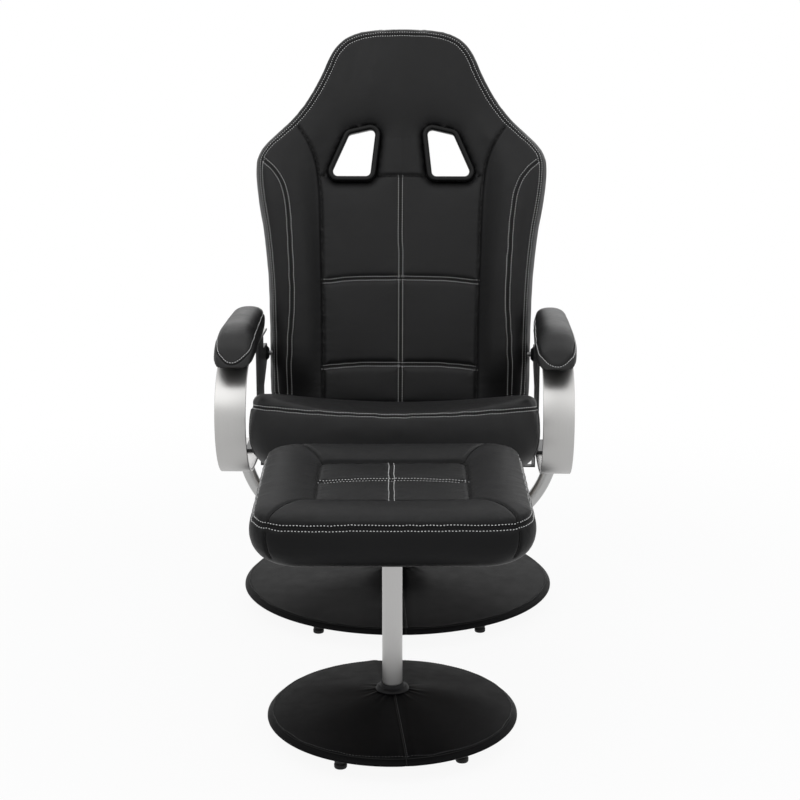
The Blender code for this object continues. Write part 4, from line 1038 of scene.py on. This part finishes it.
# ---------------------------------------------------------------- footstool cushion
STOOL = (
    Matrix.Translation((0.0112, CHAIR_Y - 0.630, 0.345))
    @ Matrix.Rotation(math.radians(1.7), 4, "Z")
    @ Matrix.Rotation(math.radians(3), 4, "X") @ Matrix.Rotation(math.radians(-0.15), 4, "Y")
)
STOOL_X, STOOL_Y, STOOL_CORNER = 0.2105, 0.1935, 0.060
PANEL_X, PANEL_Y, PANEL_CORNER = 0.115, 0.091, 0.013
STOOL_SEAM, PANEL_SEAM = 0.0620, 0.0620 + 0.005
STOOL_LEVELS = (
    (0.049, 0.0), (0.0465, -0.008), (0.041, -0.0115), (0.032, -0.0095), (0.022, -0.0040),
    (0.0135, 0.0030), (0.0072, 0.012), (0.0030, 0.021), (0.0007, 0.031), (0.0, 0.041),
    (0.0008, 0.050), (0.0024, 0.056), (0.0046, 0.0615),
)
# Seams from the panel's corners to the rim, at the front and at the rear.
MITRES = (
    ((0.113, -0.089, 0.066), (0.134, -0.102, 0.078), (0.160, -0.130, 0.078),
     (0.179, -0.168, 0.072), (0.184, -0.187, 0.064)),
    ((0.113, 0.089, 0.066), (0.120, 0.110, 0.080), (0.132, 0.138, 0.082),
     (0.148, 0.168, 0.075), (0.157, 0.187, 0.064)),
)
STOOL_CORNER_SEAM = ((0.186, 0.186, 0.052), (0.186, 0.188, 0.03), (0.181, 0.184, 0.006))


def stool_mesh():
    """The cushion's closed form: its sides, the roll round the panel and the panel."""
    loops = []

    def ring(inset, height, corner, share=0.0, swell=0.0):
        hx = (STOOL_X - inset) * (1 - share) + PANEL_X * share
        hy = (STOOL_Y - inset) * (1 - share) + PANEL_Y * share
        r = max(corner * (1 - share) + PANEL_CORNER * share, 0.004)
        loop = []
        for p in rounded(hx, hy, r):
            side = min(1, (p.x / hx) ** 4)
            lift = 0.0135 * side + (0.0112 if p.y > 0 else 0.0095) * (1 - side)
            loop.append(p + Vector((0, 0, height + swell * lift)))
        loops.append(loop)

    for inset, height in STOOL_LEVELS:
        ring(inset, height, STOOL_CORNER - inset * 0.5)
    for k in range(1, 20):
        t = k / 20
        swell = (1 - (2 * t ** 0.74 - 1) ** 2) ** 0.60
        ring(0.005 * (1 - t), STOOL_SEAM + 0.005 * t, STOOL_CORNER - 0.005, t, swell)
    panel = rounded(PANEL_X, PANEL_Y, PANEL_CORNER)
    for k in range(0, 9):
        t = k / 10
        height = PANEL_SEAM + 0.0045 * (1 - (1 - t) ** 2.4)
        loops.append([Vector((p.x * (1 - t), p.y * (1 - t), height)) for p in panel])
    return lofted([[STOOL @ p for p in loop] for loop in loops])


def build_stool():
    mesh = remeshed(stool_mesh(), 0.0042, 5)

    def on_stool(points, sx=1, sy=1):
        return [STOOL @ Vector((sx * x, sy * y, z)) for x, y, z in points]

    rim = [(p.x, p.y, STOOL_SEAM)
           for p in rounded(STOOL_X - 0.003, STOOL_Y - 0.003, STOOL_CORNER - 0.003)]
    panel = [(p.x, p.y, PANEL_SEAM) for p in rounded(PANEL_X, PANEL_Y, PANEL_CORNER)]
    along = [(-0.0020, -PANEL_Y, 0.067), (-0.0022, 0, 0.072), (-0.0024, PANEL_Y, 0.067)]
    across = [(-PANEL_X, 0, 0.067), (0, 0.001, 0.072), (PANEL_X, 0, 0.067)]
    down = -(STOOL.to_3x3() @ UP).normalized()
    main = [
        Seam(on_stool(rim), (-0.0048, 0.0048), 0.0034, 0.0050, closed=True, smooth=0,
             pucker=0.0005),
        Seam(on_stool(panel), (), 0.0030, 0.0036, closed=True, smooth=0, pucker=0.0005, ray=down),
        Seam(on_stool(along), (-0.0047, 0.0047), 0.0036, 0.0070, smooth=1, pucker=0.0003,
             ray=down),
        Seam(on_stool(across), (-0.0056, 0.0056), 0.0036, 0.0080, smooth=1, pucker=0.0003,
             ray=down),
    ]
    corners = []
    for _, sx in SIDES:
        for sy, mitre in zip((-1, 1), MITRES):
            side = on_stool(STOOL_CORNER_SEAM, sx, sy)
            corners.append(Seam(on_stool(mitre, sx), (), 0.0026, 0.0028, pucker=0.0002))
            corners.append(Seam(side, (), 0.0024, 0.0028, pucker=0.0002))
    settle(main + corners, mesh)
    points = coords(mesh)
    low = rise(moved(STOOL.inverted(), points)[:, 2], 0.010, -0.008)
    hold = np.maximum(seam_hold(points, main, 0.008), 0.55 * seam_hold(points, corners, 0.007))
    mesh = finer(inflate(mesh, np.maximum(hold, low), 3.0, 0.0035))
    piece = upholster("stool_upholstery", "stool", mesh, main + corners, STOOL_LEATHER, "footstool")
    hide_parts("stool_cushion")


# ---------------------------------------------------------------- arm pads
# Shares of the pad's length with shares of its width and height.
PAD_PLACES = (
    (0.00, 0.46, 0.20), (0.035, 0.72, 0.52), (0.10, 0.90, 0.80), (0.22, 1.00, 0.97),
    (0.34, 1.00, 1.00), (0.60, 1.00, 1.00), (0.80, 0.98, 0.97), (0.91, 0.90, 0.84),
    (0.97, 0.76, 0.60), (1.00, 0.52, 0.28),
)
PAD_ROUND = (
    (-0.80, 0.00), (-0.40, 0.00), (0.00, 0.00), (0.40, 0.00), (0.80, 0.00),
    (0.95, 0.07), (1.01, 0.26), (1.00, 0.44), (0.96, 0.60), (0.90, 0.72),
    (0.80, 0.84), (0.58, 0.95), (0.30, 1.00), (0.00, 1.01), (-0.30, 1.00),
    (-0.58, 0.95), (-0.80, 0.84), (-0.90, 0.72), (-0.96, 0.60), (-1.00, 0.44),
    (-1.01, 0.26), (-0.95, 0.07),
)
PAD_FRONT, PAD_REAR, PAD_LOW, PAD_OUTER = -0.236, 0.165, 0.5106, 0.3285


def pad_inner(y):
    """Half the clear width between the pads, narrowing towards their noses."""
    return min(0.2636, 0.2585 + 0.042 * y)


def pad_droop(y):
    """A pad's height and its underside, both lower towards its nose."""
    forward = max(0, (-0.098 - y) / 0.138)
    return 0.050 - 0.024 * forward ** 1.7, PAD_LOW - 0.021 * forward ** 2


def pad_section(sign, share, wide, tall, ring):
    y = PAD_FRONT + (PAD_REAR - PAD_FRONT) * share
    inner = pad_inner(y)
    middle, half = (inner + PAD_OUTER) / 2, (PAD_OUTER - inner) / 2 * wide
    height, low = pad_droop(y)
    lip = height * (1 - tall) / 2
    return [
        Vector((sign * (middle + half * a), CHAIR_Y + y, low + lip + (height * tall - lip) * b))
        for a, b in ring
    ]


def pad_edge(tree, sign):
    """Line round a pad at the height of its seam, from rays cast outwards."""
    stations = [(PAD_REAR - 0.030 - 0.339 * k / 60, 90 * -sign) for k in range(61)]
    nose = [(PAD_FRONT + 0.032, -sign * (90 - 180 * k / 24)) for k in range(1, 24)]
    other = [(y, 90 * sign) for y, _ in reversed(stations)]
    tail = [(PAD_REAR - 0.030, sign * (90 + 180 * k / 12)) for k in range(1, 12)]
    line = []
    for y, degrees in stations + nose + other + tail:
        angle = math.radians(degrees)
        out = Vector((math.sin(angle), -math.cos(angle), 0))
        tall, low = pad_droop(y - 0.028 * math.cos(angle))
        height = low + 0.64 * tall
        if y > 0.05:
            height -= 0.006 * max(0, -math.cos(angle)) + 0.004 * (y - 0.05) / 0.085
        middle = (pad_inner(y) + PAD_OUTER) / 2
        hit = tree.ray_cast(Vector((sign * middle, CHAIR_Y + y, height)), out, 0.2)[0]
        if hit is not None:
            line.append(hit)
    return line


def build_pads():
    ring = [(v.x, v.y) for v in curve([(a, b, 0) for a, b in PAD_ROUND], 2, True)]
    shares = (1 - np.cos(np.linspace(0, math.pi, 76))) / 2
    wides, talls = smooth_table(PAD_PLACES, shares, 0.030)
    wides *= np.clip(0.80 + 0.20 * (np.minimum(shares, 1 - shares) / 0.012), 0, 1)
    for side, sign in SIDES:
        sections = [pad_section(sign, *at, ring) for at in zip(shares, wides, talls)]
        mesh = remeshed(lofted(sections), 0.0034, 5)
        line = pad_edge(tree_of(mesh), sign)
        seams = [Seam(line, (0.0032,), 0.0026, 0.0030, closed=True, pucker=0.0001)]
        settle(seams, mesh)
        points = coords(mesh)
        hold = np.maximum(seam_hold(points, seams, 0.007), rise(points[:, 2], 0.522, -0.008))
        mesh = finer(inflate(mesh, hold, 3.0, 0.0035))
        piece = upholster("arm_pad_cover_" + side, "pad_" + side, mesh, seams, PAD_LEATHER,
                          "swivel_frame", length=0.0034)
        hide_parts("arm_pad_" + side)


# ---------------------------------------------------------------- covered disc bases
DISC_LOW = 0.0293
DOME = ((0.00, 1.00), (0.14, 0.84), (0.40, 0.60), (0.72, 0.31), (0.90, 0.13), (0.97, 0.05),
        (1.00, 0.0))


def cover_profile(radius, opening, top, edge, rim_z):
    """Radius and height of the cover from the stem to its hem, and where its top ends."""
    share = np.linspace(0, 1, 64)
    height = smooth_table(DOME, share, 0.06)[0]
    height = height - height[-1] * share
    flat = [(opening - 0.0015, top - 0.010), (opening - 0.0006, top - 0.003)]
    flat += [(opening + (edge - opening) * float(s), rim_z + (top - rim_z) * float(h))
             for s, h in zip(share, height)]
    side = [(edge + 0.0006, rim_z - 0.0010), (edge + 0.0004, rim_z - 0.0018),
            (edge + 0.0014, rim_z - 0.0026)]
    for k in range(1, 7):
        t = k / 6
        side.append((edge + 0.0014 + 0.0071 * t + 0.0010 * math.sin(math.pi * t),
                     rim_z - 0.0026 + (DISC_LOW + 0.0028 - rim_z + 0.0026) * t))
    side += [(radius + 0.0001, DISC_LOW + 0.0014), (radius - 0.0010, DISC_LOW + 0.0002),
             (radius - 0.004, DISC_LOW), (radius - 0.018, DISC_LOW + 0.0002)]
    return flat + side, len(flat)


def build_base(name, node, place, radius, opening, top, seam_degrees, body, collar):
    """Leather drawn over a disc: radial seams, a rim seam and gathers at the stem."""
    around, rim_z, edge = 240, DISC_LOW + 0.0110, radius - 0.0085
    profile, top_count = cover_profile(radius, opening, top, edge, rim_z)
    seam_angles = [math.radians(degrees) for degrees in seam_degrees]
    verts, near = [], []
    for k in range(around):
        angle = math.tau * k / around
        closest = min(abs((angle - a + math.pi) % math.tau - math.pi) for a in seam_angles)
        stem_folds = (0.0005 * math.sin(13 * angle + 1.5 * math.sin(3 * angle))
                      + 0.0003 * math.sin(23 * angle + 0.7))
        for r, (rad, z) in enumerate(profile):
            out = min(1.0, max(0.0, (rad - opening) / (edge - opening)))
            gap = closest * rad
            dip = 0.0014 * bell(gap, 0.0036)
            height = z
            if 1 < r < top_count - 1:
                wave = 0.0007 * math.sin(5 * angle + 2.1 * out) * out * (1 - out) * 4
                height += bell(out, 0.13) * stem_folds + wave
            if 1 < r < top_count:
                height += 0.0010 * bell(gap - 0.012, 0.009) - dip
            verts.append(spun(place, rad - (0 if r < top_count else dip * 0.6), angle, height))
            # mask of painted shade: darker at the radial seams, at the rim seam and at the stem opening, where the
            # leather dips to the collar
            from_rim = math.hypot(rad - edge - 0.0004, z - rim_z + 0.0018)
            near.append(max(bell(gap, 0.0024), bell(from_rim, 0.0016), 0.8 * bell(out, 0.03)))
    faces = walls(around, len(profile), closed=True, strip=True)
    piece = make(name, verts, faces, COVER_LEATHER, body, "base_leather")
    store_seam_shade(piece.data, near)
    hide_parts(node)
    kind = {"look": BLACK_THREAD, "smooth": 0}
    seams = []
    for angle in seam_angles:
        line = [spun(place, r, angle, z + 0.02) for r, z in profile[2:top_count]]
        down = [spun(place, r, angle, z) for r, z in profile[top_count:-3]]
        seams += [Seam(line, (-0.0024,), ray=-UP, **kind), Seam(down, (), **kind)]
    ring = [spun(place, edge + 0.0004, math.tau * k / 160, rim_z - 0.0018) for k in range(160)]
    seams.append(Seam(ring, (-0.0034,), closed=True, **kind))
    settle(seams, piece.data)
    stitch(name, piece.data, seams, body, "base_leather", length=0.0030, radius=0.00042)
    low_box, high_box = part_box(collar)
    reach, z0, z1 = (high_box.x - low_box.x) / 2, low_box.z, high_box.z
    hole = reach - 0.0105
    piece = turned(name + "_collar_ring", [
        (hole + 0.0004, z0), (reach - 0.0006, z0 + 0.0002), (reach, z0 + 0.0016),
        (reach - 0.0012, z0 + 0.0042), (reach - 0.0040, z0 + 0.0058),
        (hole + 0.0045, z0 + 0.0066), (hole + 0.0030, z1 - 0.0014), (hole + 0.0018, z1),
        (hole + 0.0008, z1 - 0.0004), (hole + 0.0004, z1 - 0.0016), (hole + 0.0004, z0),
    ], BLACK_PLASTIC, body, 72, place)
    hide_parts(collar)


def build_feet():
    for prefix, body in (("base", "pedestal"), ("stool_base", "footstool")):
        for i in range(1, 6):
            node = f"{prefix}_foot_{i}"
            low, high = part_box(node)
            top = high.z
            piece = turned(node + "_glide", [
                (0, 0), (0.0078, 0), (0.0092, 0.0006), (0.0099, 0.0020), (0.0100, 0.0062),
                (0.0094, 0.0078), (0.0082, 0.0086), (0.0082, 0.0100), (0.0096, 0.0108),
                (0.0100, 0.0120), (0.0100, top - 0.0016), (0.0090, top), (0, top),
            ], GLIDE, body, 40, ((low.x + high.x) / 2, (low.y + high.y) / 2, 0))
            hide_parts(node)


# ---------------------------------------------------------------- metalwork
def broken_edge_section(half_across, half_out, corner, steps=4):
    points = []
    for index, (sx, sy) in enumerate(((1, 1), (-1, 1), (-1, -1), (1, -1))):
        for i in range(steps + 1):
            angle = math.pi / 2 * (index + i / steps)
            points.append((sx * (half_across - corner) + corner * math.cos(angle),
                           sy * (half_out - corner) + corner * math.sin(angle)))
    return points


BAND_FRONT, BAND_LOW, BAND_HEIGHT, BAND_THICK = -0.225, 0.2850, 0.2200, 0.005
BAND_TOP_REAR, BAND_LOW_REAR = 0.150, 0.105


def build_bands():
    """Flat bands: a run at the top, a half circle at the front and a run below."""
    radius = BAND_HEIGHT / 2
    middle = radius - BAND_THICK / 2
    cy, cz = CHAIR_Y + BAND_FRONT + radius, BAND_LOW + radius
    top_end, low_end = CHAIR_Y + BAND_TOP_REAR - cy, CHAIR_Y + BAND_LOW_REAR - cy
    past = 0.0009
    path = [(Vector((0, cy + top_end * (1 - i / 14), cz + middle)), UP) for i in range(15)]
    for i in range(1, 72):
        angle = math.pi / 2 + math.pi * i / 72
        out = Vector((0, math.cos(angle), math.sin(angle)))
        path.append((Vector((0, cy, cz)) + out * middle, out))
    path += [(Vector((0, cy + low_end * i / 14, cz - middle)), -UP) for i in range(15)]
    for end in (0, -1):
        path[end][0].y -= past
    for side, _ in SIDES:
        low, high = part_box("arm_band_" + side)
        x, half = (low.x + high.x) / 2, (high.x - low.x) / 2
        section = broken_edge_section(half, BAND_THICK / 2, 0.0011)
        verts = [
            point + Vector((x, 0, 0)) + Vector((1, 0, 0)) * a + out * b
            for point, out in path for a, b in section
        ]
        piece = make("band_" + side, verts, walls(len(path), len(section)), SILVER_BAND,
                     "swivel_frame", "brushed_silver", 32)
        outward(piece.data)
        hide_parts("arm_band_" + side)


TUBE_RADIUS, TUBE_BEND, TUBE_SIDES = 0.0125, 0.180, 40
TUBE_END_Z = BAND_LOW - 0.004 - 0.0006


def build_cradle():
    """Round tube with a flat run below and an upward bend to each of its flattened ends."""
    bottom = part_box("cradle_tube")[0].z + TUBE_RADIUS
    pad_low, pad_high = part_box("tube_pad_right")
    sweep = math.acos(1 - (TUBE_END_Z - bottom) / TUBE_BEND)
    flat = (pad_low.x + pad_high.x) / 2 - TUBE_BEND * math.sin(sweep)
    half = [(flat * i / 6, bottom, 0.0) for i in range(6)]
    for i in range(41):
        a = sweep * i / 40
        half.append((flat + TUBE_BEND * math.sin(a), bottom + TUBE_BEND * (1 - math.cos(a)), a))
    stations = [(-x, z, -a) for x, z, a in reversed(half[1:])] + half
    verts = []
    for index, (x, z, a) in enumerate(stations):
        along = Vector((math.cos(a), 0, math.sin(a)))
        normal = Vector((-math.sin(a), 0, math.cos(a)))
        for k in range(TUBE_SIDES):
            t = math.tau * k / TUBE_SIDES
            out = math.cos(t) * normal + math.sin(t) * Vector((0, 1, 0))
            point = Vector((x, CHAIR_Y, z)) + TUBE_RADIUS * out
            if index in (0, len(stations) - 1):
                point += along * ((TUBE_END_Z - point.z) / along.z)
            verts.append(point)
    piece = make("cradle_tube_fine", verts, walls(len(stations), TUBE_SIDES), SILVER_TUBE,
                 "swivel_frame", "brushed_silver", 40)
    outward(piece.data)
    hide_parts("cradle_tube")


post_low, post_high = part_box("stool_post")
POST_AT = ((post_low.x + post_high.x) / 2, (post_low.y + post_high.y) / 2, 0)


def build_post():
    radius, chamfer = (post_high.x - post_low.x) / 2, 0.0008
    low, high = post_low.z, post_high.z
    piece = turned("stool_post_fine", [
        (0, low), (radius - chamfer, low), (radius, low + chamfer), (radius, high - chamfer),
        (radius - chamfer, high), (0, high),
    ], SILVER_POST, "footstool", 96, POST_AT)
    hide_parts("stool_post")


# ---------------------------------------------------------------- the whole object
build_back()
build_bezels()
build_shell()
build_seat()
build_stool()
build_pads()
build_base("base_skin", "base_cover", (0, CHAIR_Y, 0), 0.299, 0.031, 0.0700,
           (-85.4, 94.6), "pedestal", "base_collar")
build_base("stool_base_skin", "stool_base_cover", POST_AT, 0.198, 0.022, 0.0690,
           (-82, 98), "footstool", "stool_base_collar")
build_feet()
build_bands()
build_cradle()
build_post()


# ---------------------------------------------------------------- floor, backdrop and light
def background_share(nodes):
    """One on camera, glossy and transmission rays and none on others."""
    rays = nodes.add("ShaderNodeLightPath").outputs
    seen = nodes.math("ADD", rays["Is Camera Ray"], rays["Is Glossy Ray"])
    seen = nodes.math("ADD", seen, rays["Is Transmission Ray"])
    return nodes.math("MINIMUM", seen, 1.0)


def build_floor():
    """White floor, a little greyer under the chair so that its soft shadow shows."""
    reach = 14.0
    corners = [(-reach, -reach, 0), (reach, -reach, 0), (reach, reach, 0), (-reach, reach, 0)]
    floor = placed("floor", new_mesh("floor", corners, [(0, 1, 2, 3)]))
    look = bpy.data.materials.new("floor_white")
    n = Nodes(look)
    paint = n.add("ShaderNodeBsdfDiffuse", {"Color": (0.86, 0.86, 0.86)})
    glow = n.add("ShaderNodeEmission", {"Strength": 1.0})
    where = n.add("ShaderNodeTexCoord").outputs["Object"]
    length = n.add("ShaderNodeVectorMath", {0: where}, operation="LENGTH").outputs["Value"]
    grow = n.add("ShaderNodeMapRange", interpolation_type="SMOOTHSTEP", inputs={
        "Value": length, "From Min": 0.7, "From Max": 1.9, "To Min": 0.92, "To Max": 1.0,
    })
    share = n.math("MULTIPLY", background_share(n), grow.outputs["Result"])
    mix = n.add("ShaderNodeMixShader", {0: share, 1: paint.outputs[0], 2: glow.outputs[0]})
    n.add("ShaderNodeOutputMaterial", {0: mix.outputs[0]})
    floor.data.materials.append(look)


def build_world():
    """A soft grey-blue room for the light, and white behind the object."""
    world = bpy.data.worlds.new("studio")
    scene.world = world
    n = Nodes(world)
    room = n.add("ShaderNodeBackground", {"Color": (0.95, 0.97, 1.0), "Strength": 0.42})
    white = n.add("ShaderNodeBackground", {"Color": (1, 1, 1), "Strength": 1.0})
    share = background_share(n)
    mix = n.add("ShaderNodeMixShader", {0: share, 1: room.outputs[0], 2: white.outputs[0]})
    n.add("ShaderNodeOutputWorld", {0: mix.outputs[0]})


def lamp(name, place, aim, wide, tall, power):
    data = bpy.data.lights.new(name, "AREA")
    data.shape = "RECTANGLE"
    data.size, data.size_y, data.energy = wide, tall, power
    item = placed(name, data)
    item.location = place
    item.rotation_euler = (Vector(aim) - Vector(place)).to_track_quat("-Z", "Y").to_euler()


build_floor()
build_world()
lamp("key", (-1.4, CHAIR_Y - 2.2, 2.9), (0, CHAIR_Y, 0.45), 3.2, 2.6, 34)
lamp("fill", (2.0, CHAIR_Y - 1.8, 2.1), (0, CHAIR_Y, 0.45), 3.0, 2.6, 19)
lamp("top", (0.1, CHAIR_Y + 0.3, 3.0), (0, CHAIR_Y - 0.1, 0.4), 4.0, 3.0, 20)
lamp("rear", (0.3, CHAIR_Y + 2.4, 2.0), (0, CHAIR_Y, 0.6), 3.0, 2.0, 18)

scene.view_settings.view_transform = "Standard"
